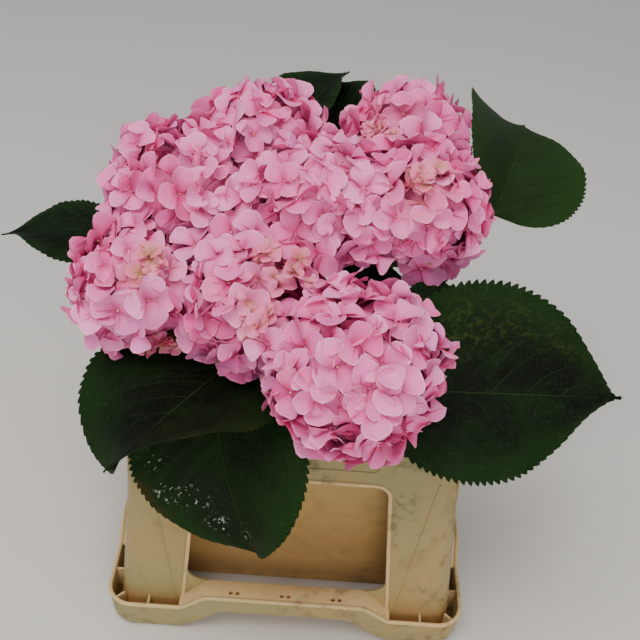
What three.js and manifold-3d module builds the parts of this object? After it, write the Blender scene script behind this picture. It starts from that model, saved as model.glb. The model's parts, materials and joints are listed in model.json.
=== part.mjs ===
// A bunch of cut mophead hydrangeas standing in a moulded flower container.
// Millimetres, +Z up. The origin is on the ground under the middle of the container,
// and the long side with the blooms that lean out over it faces -Y.
import * as THREE from 'three';
import { mergeVertices } from 'three/addons/utils/BufferGeometryUtils.js';
import Module from 'manifold-3d';

const wasm = await Module();
wasm.setup();

// ---------------------------------------------------------------- driving dimensions
const GAP = 0.3;            // clearance between neighbouring solids
const CORNER_STEPS = 3;     // facets in each rounded vertical corner

// The container: an inner tub hangs in a flared stand, and both meet at the rim.
const RIM = { height: 300, halfWidth: 174, halfDepth: 110, corner: 24, lip: 12, wall: 4 };
const TUB = {
  wall: 4,
  floor: 5,
  foot: { halfWidth: 136, halfDepth: 70, corner: 26 },
  top: { halfWidth: 158, halfDepth: 94, corner: 28 },
};
const LEGS = {
  wall: 4,
  foot: { halfWidth: 190, halfDepth: 138, corner: 24 },
  top: { halfWidth: 166, halfDepth: 102, corner: 22 },
};
const SKIRT = {
  wall: 4,
  footHeight: 43.6,         // rim of the pockets round the feet
  ledgeHeight: 64.5,        // top of the raised bar between two feet
  plateReach: 52,           // how far the foot plates run in from the outside
  foot: { halfWidth: 194, halfDepth: 144, corner: 24 },
  turn: { halfWidth: 198, halfDepth: 148, corner: 27, height: 8 },
  top: { halfWidth: 200, halfDepth: 150, corner: 28 },
};
// Windows, ledges and arches of the long and the short sides, as half-widths along the side.
const LONG_SIDE = {
  window: { low: 117, high: 101.3, top: 215, corner: 18 },
  ledge: { flat: 89, end: 116, depth: 20 },
  arch: { flat: 70, end: 122, height: 41 },
};
const SHORT_SIDE = {
  window: { low: 66, high: 52, top: 215, corner: 18 },
  ledge: { flat: 42, end: 66, depth: 15 },
  arch: { flat: 26, end: 70, height: 41 },
};
const RIB = { thickness: 2.5, height: 36, frontAt: 153, sideAt: 100, reach: 16 };
const STAND_CUTS = { foot: 66, rim: 286 };      // heights where the stand's foot, legs and rim meet

// The stems: a straight run from the tub's floor to the mouth of the container, then a bend to the bloom.
// stubLength is the short end of stem under each bloom that belongs to the bloom itself.
const STEM = { footRadius: 5.5, tipRadius: 4.2, sides: 7, bendSteps: 6, stubLength: 14 };
// How far along its old way a bending stem or stalk is pulled, as a share of the span.
const BEND_SHARE = 0.5;

// The blooms. centre and radius are the bloom's ball, foot is where its stem stands on the tub's
// floor and mouth where that stem passes the height of the rim, both as [x, y].
const BLOOMS = {
  front: { centre: [44, -128, 391], radius: 89, foot: [22, -30], mouth: [42, -72] },
  front_left: { centre: [-53, -46, 396], radius: 79, foot: [-30, -28], mouth: [-48, -42] },
  left: { centre: [-172, -29, 391], radius: 69, foot: [-75, -25], mouth: [-120, -28] },
  back_left: { centre: [-139, 72, 436], radius: 90, foot: [-80, 30], mouth: [-108, 44] },
  top_left: { centre: [-57, 154, 463], radius: 76, foot: [-35, 45], mouth: [-46, 72] },
  middle: { centre: [6, 45, 453], radius: 82, foot: [0, 0], mouth: [2, 10] },
  right: { centre: [109, 48, 459], radius: 78, foot: [70, 5], mouth: [98, 15] },
  top_right: { centre: [97, 162, 471], radius: 78, foot: [50, 48], mouth: [70, 74] },
  back: { centre: [5, 212, 362], radius: 70, foot: [8, 48], mouth: [12, 75] },
};
const BALL = {
  core: 0.7,                // radius of the core, as a share of the bloom's
  coverage: 2.35,           // florets reach this polar angle from the bloom's axis, in radians
  florets: 25,              // florets on a whole ball before those below the coverage are left out
  floretSize: 0.365,        // half the width of a floret, as a share of the bloom's radius
  root: 0.6,                // distance of a floret's root from the bloom's centre, as a share of its radius
  seat: 0.9,                // the same for its eye
  seatSpread: 0.04,         // and how much that varies from floret to floret
  turnSpread: 0.3,          // how far a floret strays from its even place round the axis, in radians
  leanFrom: 250,            // the blooms face away from a point at this height over the origin
};
// A floret's petals end at the floret's size; between them it is notched, and tips and notches
// stand a little above and below the eye. All are shares of that size.
const FLORET = { petals: 4, notch: 0.74, tipRise: 0.05, notchDrop: 0.06 };

// The leaves. base is where the blade starts, heading and face are the directions of its midrib and of
// its upper side there, and bend is the midrib's droop in degrees over its length. folds lift its right and
// its left half, curls add to that towards the tip, halves are the shares of the half-width that each
// reaches, and sway carries the tip sideways as a share of the length. The stalk leaves the named stem at
// the height at and runs into the blade for the share stalkEnd of its length.
const LEAF = {
  thickness: 2.2, rows: 8, tipHalfWidth: 1.5, stalkRadius: 2.4, stalkSides: 5, stalkSteps: 4, stalkEnd: 0.06,
};
const PLAIN_LEAF = { folds: [8, 8], curls: [0, 0], halves: [1, 1], sway: 0 };
const LEAVES = {
  right: { stem: 'front', at: 314, base: [76, -93, 339], heading: [1.08, 0.03, 0.03],
    face: [0.24, -0.57, 0.56], length: 245, width: 190, bend: 11, folds: [4, 18], curls: [-34, 24],
    halves: [0.92, 1.17] },
  right_small: { stem: 'right', at: 368, base: [98, -18, 392], heading: [0.95, -0.12, 0.12],
    face: [0, -0.5, 0.86], length: 66, width: 46, bend: 12, folds: [6, 6] },
  lower_left: { stem: 'front_left', at: 320, base: [-73, -61, 328], heading: [-0.43, -0.81, 0.09],
    face: [-0.21, 0.48, 1.01], length: 180, width: 204, bend: 5, folds: [29, -14], curls: [-100, 41],
    halves: [1.17, 0.95], sway: -0.04 },
  front: { stem: 'front_left', at: 303, base: [-82, -96, 327], heading: [0.19, -1.16, -0.62],
    face: [-0.02, -0.87, 1.34], length: 172, width: 175, bend: 57, folds: [-3, 15], curls: [5, 60],
    halves: [1.01, 1.01], sway: 0.17 },
  far_left: { stem: 'back_left', at: 345, base: [-206, 64, 393], heading: [-1.03, -0.01, 0.07],
    face: [-0.06, -0.42, 1.16], length: 116, width: 94, bend: 2, folds: [-4, 8], curls: [-10, 60],
    halves: [0.95, 1.16], sway: 0.17 },
  upper_right: { stem: 'right', at: 345, base: [202, 140, 403], heading: [0.27, 0.52, 0.54],
    face: [0.24, -0.89, 0.73], length: 158, width: 202, bend: 52, folds: [3, 43], curls: [22, -46],
    halves: [0.91, 1.1], sway: -0.08 },
  top: { stem: 'top_left', at: 390, base: [-29, 257, 437], heading: [0.47, 0.63, 0.7],
    face: [-0.25, -0.18, 0.88], length: 99, width: 103, bend: 27, folds: [7, 2], curls: [59, 4],
    halves: [0.76, 1.44], sway: -0.1 },
  top_behind: { stem: 'top_right', at: 375, base: [48, 241, 433], heading: [-0.52, 0.75, 0.6],
    face: [-0.31, -0.74, 0.46], length: 94, width: 90, bend: 25, folds: [17, 7], curls: [-34, 2],
    halves: [1.02, 0.99], sway: -0.04 },
  under: { stem: 'middle', at: 370, base: [24, 2, 392], heading: [0.97, 0.05, 0.12], face: [0, -0.72, 0.69],
    length: 80, width: 66, bend: 12, folds: [5, 5], halves: [1, 0.75] },
  back_left: { stem: 'back_left', at: 330, base: [-122, 128, 350], heading: [-0.45, 0.85, 0.1],
    face: [0, 0.1, 1], length: 150, width: 124, bend: 38 },
  back_right: { stem: 'top_right', at: 335, base: [108, 150, 366], heading: [0.62, 0.76, 0.1],
    face: [0, 0.1, 1], length: 150, width: 124, bend: 36 },
  low_right: { stem: 'back', at: 326, base: [62, 148, 318], heading: [0.5, 0.85, -0.1], face: [0, 0.1, 1],
    length: 140, width: 118, bend: 40 },
  low_left: { stem: 'back', at: 318, base: [-46, 140, 314], heading: [-0.45, 0.86, -0.1], face: [0, 0.1, 1],
    length: 140, width: 118, bend: 40 },
};

// ---------------------------------------------------------------- finishes
const finish = (color, roughness) => new THREE.MeshStandardMaterial({ color, roughness, metalness: 0 });
const FINISH = {
  tub: finish('#b9a16d', 0.5),
  stand: finish('#d6c391', 0.5),
  stem: finish('#6f8a45', 0.65),
  bloom: finish('#e58cb4', 0.8),
  leaf: finish('#24381f', 0.55),
};

// ---------------------------------------------------------------- solids and booleans
/** A closed geometry as a manifold solid, with its shared corners merged. */
function solid(geometry) {
  const plain = new THREE.BufferGeometry();
  plain.setAttribute('position', geometry.getAttribute('position').clone());
  if (geometry.index) plain.setIndex(geometry.index.clone());
  const merged = mergeVertices(plain, 1e-4);
  return new wasm.Manifold(new wasm.Mesh({
    numProp: 3,
    vertProperties: new Float32Array(merged.getAttribute('position').array),
    triVerts: new Uint32Array(merged.index.array),
  }));
}

/** A manifold solid as a geometry again. */
function geometryOf(manifold) {
  const { vertProperties, triVerts, numProp } = manifold.getMesh();
  const positions = new Float32Array((vertProperties.length / numProp) * 3);
  for (let i = 0; i * numProp < vertProperties.length; i += 1) {
    for (let k = 0; k < 3; k += 1) positions[i * 3 + k] = vertProperties[i * numProp + k];
  }
  const geometry = new THREE.BufferGeometry();
  geometry.setAttribute('position', new THREE.BufferAttribute(positions, 3));
  geometry.setIndex([...triVerts]);
  geometry.computeVertexNormals();
  return geometry;
}

const unite = (parts) => parts.reduce((whole, part) => whole.add(part));

/**
 * A closed body through rings of equally many points, each ring seen turning left from its end. From the
 * point mirroredFrom of the rings on, the four-sided faces are split along their other diagonal, so that the
 * upper side of a thin warped sheet is split just as its underside is.
 */
function loft(rings, mirroredFrom = rings[0].length) {
  const count = rings[0].length;
  const positions = rings.flat().flatMap((p) => [p.x, p.y, p.z]);
  const faces = [];
  for (let r = 0; r + 1 < rings.length; r += 1) {
    for (let i = 0; i < count; i += 1) {
      const a = r * count + i;
      const b = r * count + ((i + 1) % count);
      if (i < mirroredFrom) faces.push(a, b, b + count, a, b + count, a + count);
      else faces.push(a, b, a + count, b, b + count, a + count);
    }
  }
  const last = (rings.length - 1) * count;
  for (let i = 1; i + 1 < count; i += 1) {
    faces.push(0, i + 1, i, last, last + i, last + i + 1);
  }
  const geometry = new THREE.BufferGeometry();
  geometry.setAttribute('position', new THREE.Float32BufferAttribute(positions, 3));
  geometry.setIndex(faces);
  return geometry;
}

/** A level ring with rounded corners, grown outwards by grow. */
function roundedRing({ halfWidth, halfDepth, corner }, z, grow = 0) {
  const radius = corner + grow;
  const ring = [];
  for (let quarter = 0; quarter < 4; quarter += 1) {
    const signX = quarter === 0 || quarter === 3 ? 1 : -1;
    const signY = quarter < 2 ? 1 : -1;
    for (let i = 0; i <= CORNER_STEPS; i += 1) {
      const angle = (quarter + i / CORNER_STEPS) * Math.PI / 2;
      ring.push(new THREE.Vector3(
        signX * (halfWidth - corner) + radius * Math.cos(angle),
        signY * (halfDepth - corner) + radius * Math.sin(angle),
        z,
      ));
    }
  }
  return ring;
}

/** The outline between two others, for a body whose walls lean: share 0 is the lower one. */
function outlineBetween(low, high, share) {
  const mix = (key) => THREE.MathUtils.lerp(low[key], high[key], share);
  return { halfWidth: mix('halfWidth'), halfDepth: mix('halfDepth'), corner: mix('corner') };
}

const frustum = (low, high, bottom, top, grow = 0) => solid(loft([
  roundedRing(low, bottom, grow), roundedRing(high, top, grow)]));

/** A prism right through the container along Y, or along X for the short sides, from an X-Z outline. */
function crossPrism(outline, from, to, alongX = false) {
  const shape = outline instanceof THREE.Shape ? outline
    : new THREE.Shape(outline.map(([x, z]) => new THREE.Vector2(x, z)));
  const options = { depth: to - from, bevelEnabled: false, curveSegments: 3 };
  const geometry = new THREE.ExtrudeGeometry(shape, options);
  geometry.rotateX(Math.PI / 2);
  geometry.translate(0, to, 0);
  if (alongX) geometry.rotateZ(Math.PI / 2);
  return solid(geometry);
}

// ---------------------------------------------------------------- container
function makeTub() {
  const outer = frustum(TUB.foot, TUB.top, 0, RIM.height);
  const floorOutline = outlineBetween(TUB.foot, TUB.top, TUB.floor / RIM.height);
  const rise = RIM.height - TUB.floor;
  const mouthOutline = outlineBetween(floorOutline, TUB.top, (rise + 1) / rise);
  return outer.subtract(frustum(floorOutline, mouthOutline, TUB.floor, RIM.height + 1, -TUB.wall));
}

/** A window's outline: it narrows upwards, and its two upper corners are round. */
function windowOutline({ low, high, top, corner }) {
  const shape = new THREE.Shape();
  shape.moveTo(-low, -1);
  shape.lineTo(low, -1);
  shape.lineTo(high, top - corner);
  shape.quadraticCurveTo(high, top, high - corner, top);
  shape.lineTo(-high + corner, top);
  shape.quadraticCurveTo(-high, top, -high, top - corner);
  shape.closePath();
  return shape;
}

function makeLegs() {
  const below = 2;
  const above = RIM.height - RIM.wall / 2;
  const shell = frustum(LEGS.foot, LEGS.top, below, above)
    .subtract(frustum(LEGS.foot, LEGS.top, below - 1, above + 1, -LEGS.wall));
  const far = SKIRT.top.halfWidth + 10;
  return shell
    .subtract(crossPrism(windowOutline(LONG_SIDE.window), -far, far))
    .subtract(crossPrism(windowOutline(SHORT_SIDE.window), -far, far, true));
}

function makeRim() {
  const under = RIM.height - RIM.lip;
  const inside = RIM.height - RIM.wall;
  return frustum(RIM, RIM, under, RIM.height)
    .subtract(frustum(RIM, RIM, under - 1, inside, -RIM.wall))
    .subtract(frustum(TUB.top, TUB.top, under - 1, RIM.height + 1, GAP));
}

/** The raised bar between two feet: its top steps down to the feet at both ends, and it is open below. */
function makeLedge({ ledge }, outside, alongX) {
  const low = SKIRT.footHeight - 8;
  const profile = (inset) => [
    [-ledge.end + inset, inset ? -1 : low],
    [ledge.end - inset, inset ? -1 : low],
    [ledge.end - inset, SKIRT.footHeight - inset],
    [ledge.flat, SKIRT.ledgeHeight - inset],
    [-ledge.flat, SKIRT.ledgeHeight - inset],
    [-ledge.end + inset, SKIRT.footHeight - inset],
  ];
  const inner = outside - ledge.depth;
  const bar = (from, to) => crossPrism(profile(0), from, to, alongX)
    .subtract(crossPrism(profile(SKIRT.wall), from + SKIRT.wall, to - SKIRT.wall, alongX));
  return bar(inner, outside).add(bar(-outside, -inner));
}

function makeRibs() {
  const { thickness, height, frontAt, sideAt, reach } = RIB;
  const ribs = [];
  for (const x of [-1, 1]) {
    for (const y of [-1, 1]) {
      const front = new THREE.BoxGeometry(thickness, reach, height);
      front.translate(x * frontAt, y * (SKIRT.top.halfDepth - 2 - reach / 2), height / 2 + 1);
      const side = new THREE.BoxGeometry(reach, thickness, height);
      side.translate(x * (SKIRT.top.halfWidth - 2 - reach / 2), y * sideAt, height / 2 + 1);
      ribs.push(solid(front), solid(side));
    }
  }
  return unite(ribs);
}

function makeSkirt() {
  const { foot, turn, top, wall, footHeight, plateReach } = SKIRT;
  const outer = solid(loft([
    roundedRing(foot, 0), roundedRing(turn, turn.height), roundedRing(top, footHeight)]));
  const above = outlineBetween(turn, top, (footHeight + 1 - turn.height) / (footHeight - turn.height));
  const hollow = solid(loft([
    roundedRing(foot, wall, -wall), roundedRing(turn, turn.height, -wall),
    roundedRing(above, footHeight + 1, -wall)]));
  const opening = frustum(foot, foot, -1, footHeight, -plateReach + foot.corner);
  return outer.subtract(hollow).subtract(opening);
}

function archOutline({ flat, end, height }) {
  return [[-end, -1], [end, -1], [flat, height], [-flat, height]];
}

/** The stand, as its foot, its legs and its rim. */
function makeStand() {
  const { halfWidth, halfDepth } = SKIRT.top;
  const far = halfWidth + 10;
  const whole = unite([makeSkirt(), makeLegs(), makeRim(), makeRibs(),
    makeLedge(LONG_SIDE, halfDepth, false), makeLedge(SHORT_SIDE, halfWidth, true)])
    .subtract(crossPrism(archOutline(LONG_SIDE.arch), -far, far))
    .subtract(crossPrism(archOutline(SHORT_SIDE.arch), -far, far, true));
  const above = (part, z) => part.trimByPlane([0, 0, 1], z + GAP / 2);
  const below = (part, z) => part.trimByPlane([0, 0, -1], -z + GAP / 2);
  return {
    foot: below(whole, STAND_CUTS.foot),
    legs: below(above(whole, STAND_CUTS.foot), STAND_CUTS.rim),
    rim: above(whole, STAND_CUTS.rim),
  };
}

// ---------------------------------------------------------------- stems
/** Rings of a tapering tube along points, square to the path, or the first one square to firstWay. */
function tubeRings(points, radii, sides, firstWay) {
  const tangents = points.map((p, i) => {
    const before = points[Math.max(i - 1, 0)];
    const after = points[Math.min(i + 1, points.length - 1)];
    return after.clone().sub(before).normalize();
  });
  if (firstWay) tangents[0] = firstWay;
  let across = Math.abs(tangents[0].z) > 0.8 ? new THREE.Vector3(1, 0, 0) : new THREE.Vector3(0, 0, 1);
  return points.map((p, i) => {
    across = across.clone().addScaledVector(tangents[i], -across.dot(tangents[i])).normalize();
    const up = tangents[i].clone().cross(across);
    return Array.from({ length: sides }, (_, k) => {
      const angle = (k / sides) * 2 * Math.PI;
      return p.clone().addScaledVector(across, radii[i] * Math.cos(angle))
        .addScaledVector(up, radii[i] * Math.sin(angle));
    });
  });
}

const tube = (points, radii, sides, firstWay) => solid(loft(tubeRings(points, radii, sides, firstWay)));

/** The way a bloom faces. */
function bloomAxis({ centre }) {
  return new THREE.Vector3(centre[0], centre[1], centre[2] - BALL.leanFrom).normalize();
}

/** A stem's points: foot, mouth of the container, and the bend up to where its bloom's own stub starts. */
function stemPoints(bloom) {
  const foot = new THREE.Vector3(...bloom.foot, TUB.floor + GAP);
  const mouth = new THREE.Vector3(...bloom.mouth, RIM.height);
  const axis = bloomAxis(bloom);
  const tip = new THREE.Vector3(...bloom.centre)
    .addScaledVector(axis, -bloom.radius * BALL.core - STEM.stubLength + STEM.tipRadius);
  const rise = mouth.clone().sub(foot).normalize();
  const control = mouth.clone().addScaledVector(rise, tip.distanceTo(mouth) * BEND_SHARE);
  const bend = new THREE.QuadraticBezierCurve3(mouth, control, tip);
  return [foot, ...bend.getPoints(STEM.bendSteps)];
}

function stemRadius(z, top) {
  return THREE.MathUtils.lerp(STEM.footRadius, STEM.tipRadius, Math.min(z / top, 1));
}

function makeStem(bloom) {
  const points = stemPoints(bloom);
  const top = points[points.length - 1].z;
  return tube(points, points.map((p) => stemRadius(p.z, top)), STEM.sides, new THREE.Vector3(0, 0, 1));
}

/** Where a stem is at a height, its direction there and its radius. */
function stemAt(bloom, height) {
  const points = stemPoints(bloom);
  const next = points.findIndex((p) => p.z >= height);
  const [a, b] = [points[next - 1], points[next]];
  const point = a.clone().lerp(b, (height - a.z) / (b.z - a.z));
  const radius = stemRadius(height, points[points.length - 1].z);
  return { point, along: b.clone().sub(a).normalize(), radius };
}

// ---------------------------------------------------------------- blooms
/** Repeatable random numbers from 0 to 1. */
function seeded(seed) {
  let state = seed;
  return () => {
    state = (state * 1664525 + 1013904223) % 4294967296;
    return state / 4294967296;
  };
}

/** A floret: four broad petals as a shallow cup over a point that is sunk in the core. */
function floretSolid(eye, normal, spin, size, root) {
  const across = new THREE.Vector3(normal.y, -normal.x, 0.1).cross(normal).normalize();
  const up = normal.clone().cross(across);
  const corners = FLORET.petals * 2;
  const points = [eye, root];
  for (let k = 0; k < corners; k += 1) {
    const angle = spin + (k / corners) * 2 * Math.PI;
    const [reach, lift] = k % 2 ? [FLORET.notch, -FLORET.notchDrop] : [1, FLORET.tipRise];
    points.push(eye.clone()
      .addScaledVector(across, size * reach * Math.cos(angle))
      .addScaledVector(up, size * reach * Math.sin(angle))
      .addScaledVector(normal, size * lift));
  }
  const faces = [];
  for (let k = 0; k < corners; k += 1) {
    const [a, b] = [2 + k, 2 + ((k + 1) % corners)];
    faces.push(0, a, b, 1, b, a);
  }
  const geometry = new THREE.BufferGeometry();
  const positions = points.flatMap((p) => [p.x, p.y, p.z]);
  geometry.setAttribute('position', new THREE.Float32BufferAttribute(positions, 3));
  geometry.setIndex(faces);
  return solid(geometry);
}

/** Directions spread evenly round an axis, down to the coverage angle. */
function floretDirections(axis, random) {
  const turn = new THREE.Quaternion().setFromUnitVectors(new THREE.Vector3(0, 0, 1), axis);
  const directions = [];
  for (let i = 0; i < BALL.florets; i += 1) {
    const polar = Math.acos(1 - 2 * (i + 0.5) / BALL.florets);
    if (polar > BALL.coverage) break;
    const azimuth = i * Math.PI * (3 - Math.sqrt(5)) + random() * BALL.turnSpread;
    directions.push(new THREE.Vector3().setFromSphericalCoords(1, polar, azimuth)
      .applyAxisAngle(new THREE.Vector3(1, 0, 0), Math.PI / 2).applyQuaternion(turn));
  }
  return directions;
}

/** The half-space beyond the plane where two neighbouring balls meet, as a big box to cut away. */
function beyondMeeting(own, other) {
  const from = new THREE.Vector3(...own.centre);
  const way = new THREE.Vector3(...other.centre).sub(from);
  const distance = way.length();
  const share = 0.5 + (own.radius ** 2 - other.radius ** 2) / (2 * distance ** 2);
  const side = 400;
  const clearance = GAP * 0.6;
  const box = new THREE.BoxGeometry(side, side, side);
  box.translate(0, 0, side / 2 + distance * share - clearance);
  box.applyQuaternion(new THREE.Quaternion().setFromUnitVectors(new THREE.Vector3(0, 0, 1), way.normalize()));
  box.translate(from.x, from.y, from.z);
  return solid(box);
}

/** A bloom: a core with its own stub of stem, and florets wherever no stem or leaf is in their way. */
function makeBloom(name, seed, obstacles) {
  const bloom = BLOOMS[name];
  const random = seeded(seed);
  const centre = new THREE.Vector3(...bloom.centre);
  const axis = bloomAxis(bloom);
  const core = new THREE.IcosahedronGeometry(bloom.radius * BALL.core, 1);
  core.translate(centre.x, centre.y, centre.z);
  const points = stemPoints(bloom);
  const [before, tip] = points.slice(-2);
  const way = tip.clone().sub(before).normalize();
  const start = tip.clone().addScaledVector(way, GAP);
  const end = centre.clone().addScaledVector(axis, -bloom.radius * BALL.core / 2);
  const bendPoint = start.clone().addScaledVector(way, STEM.stubLength * BEND_SHARE);
  let whole = solid(core).add(tube([start, bendPoint, end], Array(3).fill(STEM.tipRadius), STEM.sides));
  for (const direction of floretDirections(axis, random)) {
    const seat = BALL.seat + BALL.seatSpread * (random() - 0.5);
    const eye = centre.clone().addScaledVector(direction, bloom.radius * seat);
    const root = centre.clone().addScaledVector(direction, bloom.radius * BALL.root);
    const spin = random() * Math.PI;
    const size = bloom.radius * BALL.floretSize;
    const air = 1;
    const room = floretSolid(eye.clone().addScaledVector(direction, air), direction, spin, size + air, root);
    if (obstacles.every((obstacle) => room.intersect(obstacle).isEmpty())) {
      whole = whole.add(floretSolid(eye, direction, spin, size, root));
    }
  }
  for (const [otherName, other] of Object.entries(BLOOMS)) {
    const reach = bloom.radius + other.radius;
    if (otherName !== name && centre.distanceTo(new THREE.Vector3(...other.centre)) < reach) {
      whole = whole.subtract(beyondMeeting(bloom, other));
    }
  }
  return whole;
}

// ---------------------------------------------------------------- leaves
/** Half-width of a blade at a share of its length, as a share of half its greatest width. */
function bladeShape(s) {
  return Math.sin(Math.PI * s ** 0.78) ** (0.52 + s ** 3);
}

/** A point of a blade's upper side: s runs from base to tip, v from its right edge to its left edge. */
function bladePoint(leaf, s, v, lift = 0) {
  const heading = new THREE.Vector3(...leaf.heading).normalize();
  const face = new THREE.Vector3(...leaf.face);
  face.addScaledVector(heading, -face.dot(heading)).normalize();
  const across = face.clone().cross(heading);
  const bend = THREE.MathUtils.degToRad(leaf.bend);
  const turn = bend * s;
  const point = new THREE.Vector3(...leaf.base)
    .addScaledVector(heading, leaf.length * Math.sin(turn) / bend)
    .addScaledVector(face, -leaf.length * (1 - Math.cos(turn)) / bend)
    .addScaledVector(across, leaf.sway * leaf.length * s ** 2);
  const up = face.clone().multiplyScalar(Math.cos(turn)).addScaledVector(heading, Math.sin(turn));
  const side = v < 0 ? 0 : 1;
  const half = Math.max(leaf.width / 2 * leaf.halves[side] * bladeShape(s), LEAF.tipHalfWidth);
  const fold = THREE.MathUtils.degToRad(leaf.folds[side] + leaf.curls[side] * s ** 2);
  return point.addScaledVector(across, v * half * Math.cos(fold))
    .addScaledVector(up, Math.abs(v) * half * Math.sin(fold) + lift);
}

function bladeSolid(leaf) {
  const columns = [-1, 0, 1];
  const half = LEAF.thickness / 2;
  const rings = Array.from({ length: LEAF.rows + 1 }, (_, row) => {
    const s = row / LEAF.rows;
    return [
      ...columns.map((v) => bladePoint(leaf, s, v, -half)),
      ...[...columns].reverse().map((v) => bladePoint(leaf, s, v, half)),
    ];
  });
  return solid(loft(rings, columns.length));
}

function makeLeaf(leaf) {
  const stem = stemAt(BLOOMS[leaf.stem], leaf.at);
  const base = new THREE.Vector3(...leaf.base);
  const outwards = base.clone().sub(stem.point);
  outwards.addScaledVector(stem.along, -outwards.dot(stem.along)).normalize();
  const start = stem.point.clone().addScaledVector(outwards, stem.radius + GAP);
  const control = start.clone().addScaledVector(outwards, base.distanceTo(start) * BEND_SHARE);
  const points = new THREE.QuadraticBezierCurve3(start, control, base).getPoints(LEAF.stalkSteps);
  points.push(bladePoint(leaf, LEAF.stalkEnd, 0));
  return tube(points, Array(points.length).fill(LEAF.stalkRadius), LEAF.stalkSides).add(bladeSolid(leaf));
}

// ---------------------------------------------------------------- assembly
const hydrangeas = new THREE.Group();

function place(name, manifold, material) {
  const mesh = new THREE.Mesh(geometryOf(manifold), material);
  mesh.name = name;
  hydrangeas.add(mesh);
}

place('tub', makeTub(), FINISH.tub);
Object.entries(makeStand()).forEach(([name, part]) => place(`stand_${name}`, part, FINISH.stand));
const stems = Object.entries(BLOOMS).map(([name, bloom]) => [`stem_${name}`, makeStem(bloom)]);
const leaves = Object.entries(LEAVES)
  .map(([name, leaf]) => [`leaf_${name}`, makeLeaf({ ...PLAIN_LEAF, ...leaf })]);
const obstacles = [...stems, ...leaves].map(([, manifold]) => manifold);
stems.forEach(([name, manifold]) => place(name, manifold, FINISH.stem));
leaves.forEach(([name, manifold]) => place(name, manifold, FINISH.leaf));
Object.keys(BLOOMS).forEach((name, i) => {
  place(`bloom_${name}`, makeBloom(name, 11 + i, obstacles), FINISH.bloom);
});

export default hydrangeas;
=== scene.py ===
"""A bunch of cut mophead hydrangeas standing in a moulded flower container."""

import json
import math
import random

import bmesh
import bpy
import numpy as np
from mathutils import Matrix, Vector

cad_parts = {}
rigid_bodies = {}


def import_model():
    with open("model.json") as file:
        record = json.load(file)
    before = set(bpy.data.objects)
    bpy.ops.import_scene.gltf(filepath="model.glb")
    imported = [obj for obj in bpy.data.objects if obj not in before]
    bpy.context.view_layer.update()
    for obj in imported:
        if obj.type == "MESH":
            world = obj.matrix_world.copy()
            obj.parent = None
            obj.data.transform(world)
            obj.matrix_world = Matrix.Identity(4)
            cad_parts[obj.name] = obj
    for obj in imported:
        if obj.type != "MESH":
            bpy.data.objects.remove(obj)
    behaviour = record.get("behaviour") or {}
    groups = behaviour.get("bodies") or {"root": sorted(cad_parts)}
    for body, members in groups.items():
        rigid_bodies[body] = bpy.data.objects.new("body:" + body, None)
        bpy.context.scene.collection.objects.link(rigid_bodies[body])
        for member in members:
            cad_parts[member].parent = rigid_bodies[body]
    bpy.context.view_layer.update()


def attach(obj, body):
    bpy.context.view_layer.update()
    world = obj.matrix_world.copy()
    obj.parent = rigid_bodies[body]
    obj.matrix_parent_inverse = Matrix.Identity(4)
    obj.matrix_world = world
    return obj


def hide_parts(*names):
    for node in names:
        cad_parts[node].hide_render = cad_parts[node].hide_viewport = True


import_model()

# ---------------------------------------------------------------- driving dimensions, in millimetres
MM = 0.001

# The container, as in the part's source. half is (half-width, half-depth) of an outline, corner its radius.
CORNER_STEPS = 12
CORNERS = [(-1, -1), (-1, 1), (1, -1), (1, 1)]      # as signs along x and y
RIM = {"height": 300, "half": (174, 110), "corner": 24, "lip": 12, "wall": 4}
TUB = {"wall": 4, "floor": 5, "foot": ((136, 70), 26), "top": ((158, 94), 28)}
LEGS = {"wall": 3.2, "low": 2, "high": 298, "foot": ((190, 138), 24), "top": ((166, 102), 22),
        "lintel_columns": 6, "round": 1.1}
SKIRT = {"wall": 3.2, "round": 1.0, "bead": 2.3, "plate": 4, "plate_reach": 52, "plate_inset": 2, "rows": 8,
         "profile": [(0, (194, 144), 24), (8, (198, 148), 27), (43.6, (200, 150), 28),
                     (64.5, (200, 150), 28)]}
FOOT_HEIGHT = 43.6      # rim of the pockets round the feet
LEDGE_HEIGHT = 64.5     # top of the raised bar between two feet
# Each side: how far out it stands, the window's half-width low down and high up, its top, the radius of its
# corners and the reach and rise of its webs. Then the flat and the sloping end of the ledge and its depth,
# the same of the arch below it, where the crease across each leg starts and ends, and the half-width over
# the window that stays flat.
SIDES = {
    "long": {"outside": 150, "window": (117, 101.3), "top": 215, "corner": 18, "fillet": (24, 20),
             "ledge": (89, 116), "depth": 26.2, "arch": (70, 122), "crease": (123, 151), "panel": 94},
    "short": {"outside": 200, "window": (66, 52), "top": 215, "corner": 18, "fillet": (20, 15),
              "ledge": (42, 66), "depth": 21.6, "arch": (26, 70), "crease": (74, 98), "panel": 48},
}
ARCH_HEIGHT = 41
CREASE = {"from": 37, "to": 229, "slope": 0.11, "ridge": 1.3}
PANEL = {"half": {"long": 88, "short": 42}, "low": 233, "high": 287, "radius": 1.2}
WINDOW_BEAD = {"radius": 2.2, "out": 1.6, "proud": 0.2}
LEDGE_HOLE = {"radius": 2.5, "spacing": 7.5, "at": (-56.7, 0, 56.7), "back": 9.6,
              "boss": [(3.5, 8.5), (3.5, 3.3), (2.6, 3.3), (2.4, 7.5)]}      # (radius, depth) of its rings
# The ribs of one pocket as (middle, half-size, turn in degrees), and the heights that they run between.
RIBS = [((153, 139), (1.25, 8), 0), ((189, 100), (8, 1.25), 0), ((186, 135.4), (6.5, 1.25), 45)]
RIB_HEIGHTS = (9, 40)

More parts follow.
